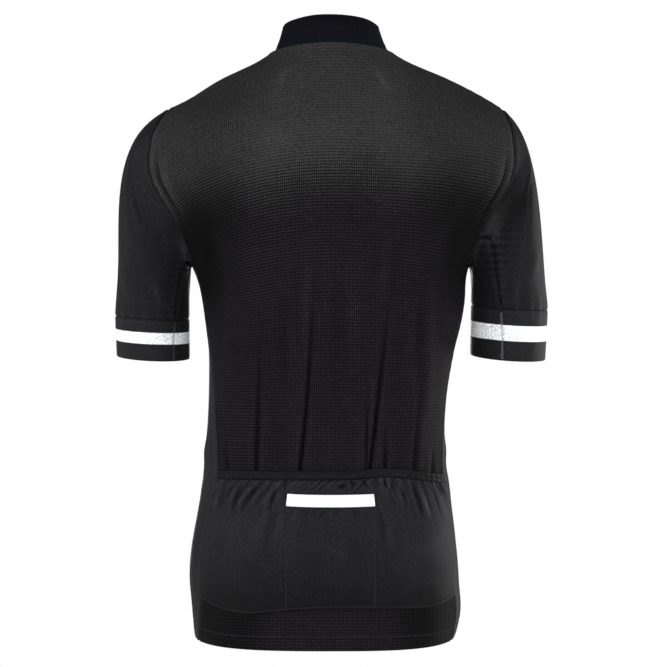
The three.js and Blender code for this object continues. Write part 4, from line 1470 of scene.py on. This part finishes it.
def collar_relief(rise, around):
    """A rounded top edge, waves that grow towards it, and a groove above the base."""
    relief = COLLAR_WAVE_HEIGHT * np.sin(np.radians(around) * COLLAR_WAVES + COLLAR_WAVES_START) * rise
    for line in (COLLAR_EDGE, COLLAR_GROOVE):
        relief = relief + line["height"] * bell(rise - line["rise"], line["width"])
    return relief * np.clip((180 - np.abs(around)) / COLLAR_WAVES_FROM_ZIP, 0, 1)


def collar():
    rises = np.linspace(SEAM_GAP / COLLAR_HEIGHT, 1, COLLAR_ROWS + 1)
    ring = collar_ring(rises)
    right = -front_around(ring, "right", ZIP_FRONT_EDGE)[:, None]
    left = front_around(ring, "left", ZIP_FRONT_EDGE)[:, None]
    around = mix(right, left, np.linspace(0, 1, COLLAR_COLUMNS + 1))
    rise = np.broadcast_to(rises[:, None], around.shape)
    normals = collar_normal(rise, around)
    points = collar_point(rise, around) + normals * collar_relief(rise, around)[..., None]
    # The seam allowance goes down inside the back and the fronts
    turned_up = np.full_like(around[0], NECK_UP - COLLAR_ALLOWANCE)
    turned_normals = trunk_normal(turned_up, around[0])
    turned = trunk_point(turned_up, around[0]) - turned_normals * (CLOTH + SEAM_GAP / 2)
    points = np.concatenate([turned[None], points])
    normals = np.concatenate([turned_normals[None], normals])
    runs = lengths_between(points, 1)
    rise = np.concatenate([np.full_like(rise[:1], -COLLAR_ALLOWANCE / COLLAR_HEIGHT), rise])
    places = np.stack([runs, rise * COLLAR_HEIGHT], axis=-1)
    return wall("collar_cloth", points, normals, COLLAR_CLOTH, places, COLLAR_LOOK)


# What lies on the back panel


def back_around(across, up):
    """The degrees round of a share of the way from the centre back to a side seam."""
    seams = side_seam(up)
    left = aside("left", up, seams["left"], -SEAM_GAP / 2)
    right = aside("right", up, seams["right"], -SEAM_GAP / 2)
    return across * np.where(across < 0, right, left)


def pocket_relief(up, x, across):
    """The pocket panel's gathers, creases, turned-in lower edge and stitched divisions."""
    above_edge = up - pocket_bottom(across)
    turned = POCKET_TURNING["height"] * bell(above_edge - POCKET_TURNING["up"], POCKET_TURNING["width"])
    divisions = np.zeros(above_edge.shape)
    for line in POCKET_DIVISIONS:
        divisions = divisions - DIVISION_GROOVE * bell(x - line, DIVISION_GROOVE_WIDTH)
        divisions = divisions + pucker(up, np.abs(x - line), **POCKET_PUCKER)
    divisions = divisions * np.clip(above_edge / DIVISIONS_ABOVE_EDGE, 0, 1)
    creased = POCKET_CREASE_GAIN * creases(POCKET_CREASES, x, up)
    creased = creased * np.clip(above_edge / CREASES_ABOVE_EDGE, 0, 1)
    return gather_height(up, x, across) + creased + turned + divisions


def pocket_shares(rows):
    """A grid of shares across the back, from one side seam to the other."""
    return np.broadcast_to(np.linspace(-1, 1, POCKET_COLUMNS + 1), (rows + 1, POCKET_COLUMNS + 1))


def pocket_grid(across, up):
    around = back_around(across, up)
    return around, trunk_point(up, around)[..., 0]


def pocket_panel():
    across = pocket_shares(POCKET_ROWS)
    part = np.linspace(0, 1, POCKET_ROWS + 1)[:, None]
    up = mix(pocket_bottom(across), pocket_top(across), part)
    around, x = pocket_grid(across, up)
    relief = POCKET_LIFT + np.maximum(pocket_relief(up, x, across), POCKET_FLOOR)
    return lay_on_trunk("pocket_panel_cloth", up, around, relief, CLOTH, POCKET)


def band_relief(level, x):
    """Two welts with a groove between them, and the fine ruffle of stretched elastic."""
    middle = (BAND_BOTTOM + BAND_TOP) / 2
    off = (level - middle) / (BAND_TOP - middle)
    welts = BAND_WELT * (np.abs(np.sin(math.pi * off)) ** BAND_WELT_ROUNDNESS - 1)
    wander = RUFFLE_WANDER * np.sin(x / RUFFLE_WANDER_LENGTH)
    ruffle = RUFFLE_HEIGHT * np.sin(x / RUFFLE_LENGTH + wander)
    wave = BAND_WAVE_HEIGHT * np.sin(x / BAND_WAVE_LENGTH + off)
    return PATCH_LIFT + BAND_THICKNESS + welts + ruffle + wave


def pocket_band():
    across = pocket_shares(BAND_ROWS)
    level = mix(BAND_BOTTOM, BAND_TOP, np.linspace(0, 1, BAND_ROWS + 1))[:, None] + 0 * across
    up = level - band_drop(across)
    around, x = pocket_grid(across, up)
    relief = band_relief(level, x)
    return lay_on_trunk("pocket_band_elastic", up, around, relief, BAND_CLOTH, BAND_LOOK)


def reflective_strip():
    across = np.linspace(-1, 1, POCKET_COLUMNS + 1)
    x_top = trunk_point(STRIP_TOP, back_around(across, STRIP_TOP))[..., 0]
    across = across[(x_top > STRIP_RIGHT) & (x_top < STRIP_LEFT)]
    across = np.broadcast_to(across, (STRIP_ROWS + 1, len(across)))
    up = mix(STRIP_BOTTOM, STRIP_TOP, np.linspace(0, 1, STRIP_ROWS + 1))[:, None] - strip_sag(across)
    around, x = pocket_grid(across, up)
    cloth = np.maximum(STRIP_SUPPLENESS * pocket_relief(up, x, across), POCKET_FLOOR)
    relief = POCKET_LIFT + STRIP_LIFT + STRIP_CLOTH + cloth
    name = "reflective_strip_film"
    return lay_on_trunk(name, up, around, relief, STRIP_CLOTH, STRIP_LOOK)


# The zip


def zip_line():
    """Points and normals up the middle of the front, from the hem to the collar's top edge."""
    rows = panel_rows("left", front_seam, turns_between(FRONT_SEAM_TURN, 360), 0)
    up = rows["middle"] + HEM_FRONT_RISE * (1 - rows["part"])
    up = np.interp(np.linspace(0, len(up) - 1, ZIP_ROWS), np.arange(len(up)), up)
    rise = np.linspace(0, 1, COLLAR_ROWS + 1)[1:]
    below, above = np.full_like(up, 180), np.full_like(rise, 180)
    points = np.concatenate([trunk_point(up, below), collar_point(rise, above)])
    normals = np.concatenate([trunk_normal(up, below), collar_normal(rise, above)])
    normals[:, 0] = 0
    return points, unit(normals)


ZIP_POINTS, ZIP_NORMALS = zip_line()


def zip_tape(side):
    section = sorted(((SIGN[side] * out, depth) for out, depth in TAPE_SECTION), reverse=True)
    xs, depths = np.array(section).T
    grid = np.repeat(ZIP_POINTS[:, None], len(xs), axis=1)
    grid[..., 0] = xs
    normals = np.repeat(ZIP_NORMALS[:, None], len(xs), axis=1)
    grid = grid - normals * depths[:, None]
    runs = lengths_between(grid, 0)
    places = np.stack([np.broadcast_to(xs, runs.shape), runs], axis=-1)
    return wall(f"zip_tape_{side}_ribbon", grid, normals, TAPE_THICKNESS, places, TAPE_LOOK)


# A tooth's stations from its tape to the middle: how far out, and its shares of width and depth
TOOTH_SECTION = 8
TOOTH_STATIONS = ((-1, 0.45, 0.1), (-0.8, 0.85, 0.55), (-0.35, 1, 0.9), (0.1, 1.05, 1), (0.45, 0.9, 0.8))
TOOTH_HALF_DEPTH = COIL_THICKNESS / 2 - 0.1
TOOTH_HALF_WIDTH = 0.3 * COIL_PITCH
TOOTH_SUNK = 0.05


def zip_coil():
    """The coil's turns: short bars that start at the two tapes in turn and meet in the middle."""
    below = ZIP_POINTS[:, 2] < COIL_TOP_Z
    points, normals = ZIP_POINTS[below], ZIP_NORMALS[below]
    runs = lengths_between(points, 0)
    at = np.arange(COIL_PITCH / 2, runs[-1] - COIL_PITCH / 2, COIL_PITCH / 2)
    spots = read_along(runs, at, points)
    outs = unit(read_along(runs, at, normals))
    alongs = unit(np.gradient(spots, axis=0))
    verts, faces = [], []
    for i, (spot, out, along) in enumerate(zip(spots, outs, alongs)):
        hand = 1 if i % 2 else -1
        centre = spot + out * (COIL_PROUD - TOOTH_HALF_DEPTH - TOOTH_SUNK)
        faces += bar_faces(len(verts), len(TOOTH_STATIONS), TOOTH_SECTION)
        for reach, width, depth in TOOTH_STATIONS:
            middle = centre + np.array([-hand * reach * COIL_HALF, 0, 0])
            for k in range(TOOTH_SECTION):
                angle = 2 * math.pi * k / TOOTH_SECTION
                raised = out * TOOTH_HALF_DEPTH * depth * math.sin(angle)
                verts.append(middle + raised + along * TOOTH_HALF_WIDTH * width * math.cos(angle))
    return new_object("zip_coil_turns", verts, faces, COIL_LOOK)


def plate(outline, y_from, y_to):
    """A flat plate with an outline in x and z, between two depths, as (verts, faces)."""
    count = len(outline)
    verts = [(x, y, z) for y in (y_from, y_to) for x, z in outline]
    faces = [list(range(count)), [count + i for i in reversed(range(count))]]
    faces += [[i, count + i, count + (i + 1) % count, (i + 1) % count] for i in range(count)]
    return verts, faces


def joined_object(name, parts, bevel, body):
    """A metal piece made of parts of (verts, faces), with its edges rounded."""
    verts, faces = [], []
    for part_verts, part_faces in parts:
        faces += [[index + len(verts) for index in face] for face in part_faces]
        verts += part_verts
    piece = new_object(name, verts, faces, METAL_LOOK, body=body)
    rounding = piece.modifiers.new("rounding", "BEVEL")
    rounding.width = bevel * METRES
    rounding.segments = 2
    rounding.limit_method = "ANGLE"
    return piece


# The slider: the outline of its two plates, their depths, and the post that joins them
SLIDER_SIDE = ((3.6, -25), (4, -26.5), (4, -30), (3.1, -33.5), (2.9, -38))
SLIDER_OUTLINE = [(-x, z) for x, z in SLIDER_SIDE] + list(SLIDER_SIDE[::-1])
SLIDER_POST = ((-1.5, -27), (1.5, -27), (1.5, -25.2), (-1.5, -25.2))
SLIDER_OUTER_Y = (-77.8, -76.1)
SLIDER_INNER_Y = (-73.1, -71.8)
SLIDER_POST_Y = (-76.6, -72.6)
SLIDER_BEVEL = 0.25

# The crown's outer line in y and z, its bar and its half width
CROWN_SIDE = (
    (-76.6, -28.2),
    (-79.6, -28.5),
    (-81.2, -29.4),
    (-81.6, -32),
    (-81.2, -34.6),
    (-79.6, -35.5),
    (-76.6, -35.8),
)
CROWN_MIDDLE_Z = -32
CROWN_FOOT_Y = -79
CROWN_FOOT_SHARE = 0.4
CROWN_BAR = 0.95
CROWN_HALF = 0.75


def crown():
    """The arch on the slider that holds the pull tab."""
    inner = []
    for y, z in CROWN_SIDE:
        share = 1 if y < CROWN_FOOT_Y else CROWN_FOOT_SHARE
        inner.append((y + CROWN_BAR * share, z + CROWN_BAR * np.sign(CROWN_MIDDLE_Z - z)))
    loop = [*CROWN_SIDE, *reversed(inner)]
    size = len(loop)
    verts = [(x, y, z) for x in (-CROWN_HALF, CROWN_HALF) for y, z in loop]
    faces = []
    for i in range(len(CROWN_SIDE) - 1):
        face = [i, i + 1, size - 2 - i, size - 1 - i]
        faces += [face, [size + corner for corner in reversed(face)]]
    for i in range(size):
        after = (i + 1) % size
        faces.append([after, i, size + i, size + after])
    return verts, faces


def zip_slider():
    parts = [
        plate(SLIDER_OUTLINE, *SLIDER_OUTER_Y),
        plate(SLIDER_OUTLINE, *SLIDER_INNER_Y),
        plate(SLIDER_POST, *SLIDER_POST_Y),
        crown(),
    ]
    return joined_object("zip_slider_body", parts, SLIDER_BEVEL, GARMENT)


def zip_pull():
    """A rounded blade with an eye that hangs on the crown, and grip ridges on both its faces."""
    x0, y0, z0 = PULL_PIN
    bar = PULL_THICKNESS / 2
    half, arc_z = PULL_HALF_WIDTH, PULL_HALF_WIDTH - PULL_LENGTH
    outline = [(-half, bar), (-half, arc_z)]
    for k in range(1, PULL_ARC_STEPS):
        angle = math.pi + math.pi * k / PULL_ARC_STEPS
        outline.append((half * math.cos(angle), arc_z + half * math.sin(angle)))
    outline += [(half, arc_z), (half, bar)]
    eye_half, eye_end = PULL_EYE_HALF, -PULL_EYE_LENGTH
    eye = [(-eye_half, -bar), (-eye_half, eye_end), (eye_half, eye_end), (eye_half, -bar)]
    # The tab and its eye are one ring of faces at the front and back, split where the eye ends
    count, total = len(outline), len(outline) + len(eye)
    verts = [(x0 + x, y0 + y, z0 + z) for y in (-bar, bar) for x, z in outline + eye]
    faces = []
    for layer, turned in ((0, False), (total, True)):
        e0, e1, e2, e3 = range(layer + count, layer + total)
        top = [layer + count - 1, layer, e0, e3]
        left = [layer, layer + 1, e1, e0]
        right = [layer + count - 2, layer + count - 1, e3, e2]
        foot = [*range(layer + 1, layer + count - 1), e2, e1]
        for face in (top, left, right, foot):
            faces.append(face[::-1] if turned else face)
    for k in range(count):
        faces.append([(k + 1) % count, k, total + k, total + (k + 1) % count])
    for k in range(len(eye)):
        a, b = count + k, count + (k + 1) % len(eye)
        faces.append([a, b, total + b, total + a])
    parts = [(verts, faces)]
    left, right = x0 - RIDGE_HALF_WIDTH, x0 + RIDGE_HALF_WIDTH
    front, back = y0 - bar, y0 + bar
    for k in range(RIDGE_COUNT):
        top = z0 - RIDGE_START - RIDGE_PITCH * k
        foot = top - RIDGE_LENGTH
        ridge = ((left, top), (right, top), (right, foot), (left, foot))
        parts.append(plate(ridge, front - RIDGE_PROUD, front + RIDGE_SUNK))
        parts.append(plate(ridge, back - RIDGE_SUNK, back + RIDGE_PROUD))
    return joined_object("zip_pull_tab", parts, PULL_BEVEL, PULL_TAB)


# The stitches: how far apart they are, the share of that which shows, their thread's half
# thickness, how far it lies off the cloth and how far a zigzag swings
HEM_ROW = {"pitch": 3.2, "share": 0.7, "radius": 0.26, "lift": 0.25}
ZIGZAG = {"pitch": 1.7, "share": 1, "radius": 0.24, "lift": 0.25, "swing": 1.1}
BAND_ZIGZAG = {"pitch": 1.8, "share": 1, "radius": 0.22, "lift": 0.2, "swing": 0.8}
OVERLOCK = {"pitch": 1.5, "share": 0.95, "radius": 0.24, "lift": 0.25, "swing": 2.2}
ZIP_ROW = {"pitch": 3, "share": 0.7, "radius": 0.24, "lift": 0.22}
ZIP_ROW_FROM_EDGE = 3
POCKET_ROW_FROM_EDGE = 2.5
CUFF_ROW_FROM_SEAM = 3


def row_from_edge(name, distance):
    """The line at a distance from the edge where a piece's grid starts."""
    return line_where(name, lengths_between(outer_grids[name][0], 0) - distance)


def sew(node, name, lines, material, slot, kind):
    """Makes stitches and keeps them with the cloth that carries them."""
    stitches[node].append(thread(name, lines, material, slot, **kind))


# The camera, the floor and the lights


def stage():
    camera = bpy.data.objects.new("camera", bpy.data.cameras.new("camera"))
    bpy.context.scene.collection.objects.link(camera)
    camera.location = CAMERA_PLACE
    camera.rotation_euler = (math.pi / 2, 0, math.pi)
    camera.data.sensor_width = CAMERA_SENSOR
    camera.data.lens = CAMERA_LENS
    bpy.context.scene.camera = camera
    mesh = bpy.data.meshes.new("floor")
    square = ((-1, -1), (1, -1), (1, 1), (-1, 1))
    verts = [(x * FLOOR_HALF, y * FLOOR_HALF, FLOOR_DROP) for x, y in square]
    mesh.from_pydata(verts, [], [[0, 1, 2, 3]])
    mesh.materials.append(floor_paint())
    floor = bpy.data.objects.new("floor", mesh)
    bpy.context.scene.collection.objects.link(floor)
    world = bpy.data.worlds.new("studio")
    world.use_nodes = True
    # The backdrop looks white, and lights the cloth less than it looks
    tree = world.node_tree
    backdrop = tree.nodes["Background"]
    backdrop.inputs["Color"].default_value = (1, 1, 1, 1)
    path = tree.nodes.new("ShaderNodeLightPath")
    level = tree.nodes.new("ShaderNodeMapRange")
    level.inputs["To Min"].default_value = STUDIO_FILL
    level.inputs["To Max"].default_value = 1.0
    tree.links.new(path.outputs["Is Camera Ray"], level.inputs["Value"])
    tree.links.new(level.outputs["Result"], backdrop.inputs["Strength"])
    bpy.context.scene.world = world
    bpy.context.scene.view_settings.view_transform = "Standard"


def soft_light(name, place, aim, size, power):
    lamp = bpy.data.lights.new(name, "AREA")
    lamp.shape = "RECTANGLE"
    lamp.size, lamp.size_y = size
    lamp.energy = power
    light = bpy.data.objects.new(name, lamp)
    bpy.context.scene.collection.objects.link(light)
    light.location = place
    light.rotation_euler = (Vector(aim) - Vector(place)).to_track_quat("-Z", "Y").to_euler()


stage()
soft_light("overhead", (0.2, 2.4, 1.3), (0, 0, -0.3), (1.0, 0.7), 23)
soft_light("left_side", (2.3, 1.0, 0.1), (0, 0, -0.45), (0.5, 1.5), 42)
soft_light("right_side", (-2.3, 0.9, 0.1), (0, 0, -0.45), (0.5, 1.5), 36)
soft_light("left_rim", (1.9, -1.2, -0.5), (0, 0, -0.5), (0.6, 1.6), 4)
soft_light("right_rim", (-1.9, -1.2, -0.5), (0, 0, -0.5), (0.6, 1.6), 22)
soft_light("front", (0.1, -3.0, -0.3), (0, 0, -0.4), (1.3, 1.4), 70)
soft_light("left_fill", (1.5, 2.7, -0.7), (-0.1, 0, -0.35), (0.8, 1.2), 22)
soft_light("right_fill", (-1.5, 2.7, -0.7), (0.1, 0, -0.35), (0.8, 1.2), 26)


# Make every piece, and hide the solid that each stands for

panels = {"back_panel": back_panel(), "collar": collar()}
for side in ("left", "right"):
    panels[f"front_{side}"] = front_panel(side)
    panels[f"side_panel_{side}"] = side_panel(side)
    panels[f"sleeve_{side}"] = sleeve(side)
    panels[f"cuff_{side}"] = cuff(side)
    panels[f"zip_tape_{side}"] = zip_tape(side)
panels["pocket_panel"] = pocket_panel()
panels["pocket_band"] = pocket_band()
panels["reflective_strip"] = reflective_strip()
for node, piece in panels.items():
    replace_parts(piece, node)
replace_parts(zip_coil(), "zip_coil")
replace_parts(zip_slider(), "zip_slider")
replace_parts(zip_pull(), "zip_pull")

stitches = {node: [] for node in panels}
for node in ("back_panel", "side_panel_left", "side_panel_right", "front_left", "front_right"):
    slot = "mesh_knit" if node == "back_panel" else "smooth_knit"
    hem = line_where(f"{node}_cloth", stitch_height[f"{node}_cloth"])
    sew(node, f"{node}_hem_stitches", [hem], HEM_YARN, slot, HEM_ROW)
for side in ("left", "right"):
    name = f"front_{side}_cloth"
    from_edge = np.abs(outer_grids[name][0][..., 0]) - ZIP_FRONT_EDGE - ZIP_ROW_FROM_EDGE
    beside_zip = line_where(name, from_edge, axis=1)
    sew(f"front_{side}", f"zip_stitches_{side}", [beside_zip], DARK_YARN, "smooth_knit", ZIP_ROW)
    name = f"cuff_{side}_band"
    row = row_from_edge(name, CUFF_ROW_FROM_SEAM)
    sew(f"cuff_{side}", f"cuff_stitches_{side}", [row], DARK_YARN, "cuff_band", ZIP_ROW)
    seam = line_where(name, cuff_seam_distance[side], axis=1)
    seam = tuple(grid[2:-1] for grid in seam)
    sew(f"cuff_{side}", f"cuff_overlock_{side}", [seam], PALE_YARN[side], "cuff_band", OVERLOCK)
name = "pocket_panel_cloth"
divisions = []
for place in POCKET_DIVISIONS:
    division = line_where(name, outer_grids[name][0][..., 0] - place, axis=1)
    divisions.append(tuple(grid[2:-2] for grid in division))
sew("pocket_panel", "pocket_division_stitches", divisions, POCKET_YARN, "pocket_knit", ZIGZAG)
row = row_from_edge(name, POCKET_ROW_FROM_EDGE)
sew("pocket_panel", "pocket_bottom_stitches", [row], DARK_YARN, "pocket_knit", HEM_ROW)
row = row_from_edge("pocket_band_elastic", (BAND_TOP - BAND_BOTTOM) / 2)
sew("pocket_band", "pocket_band_stitches", [row], DARK_YARN, "pocket_knit", BAND_ZIGZAG)
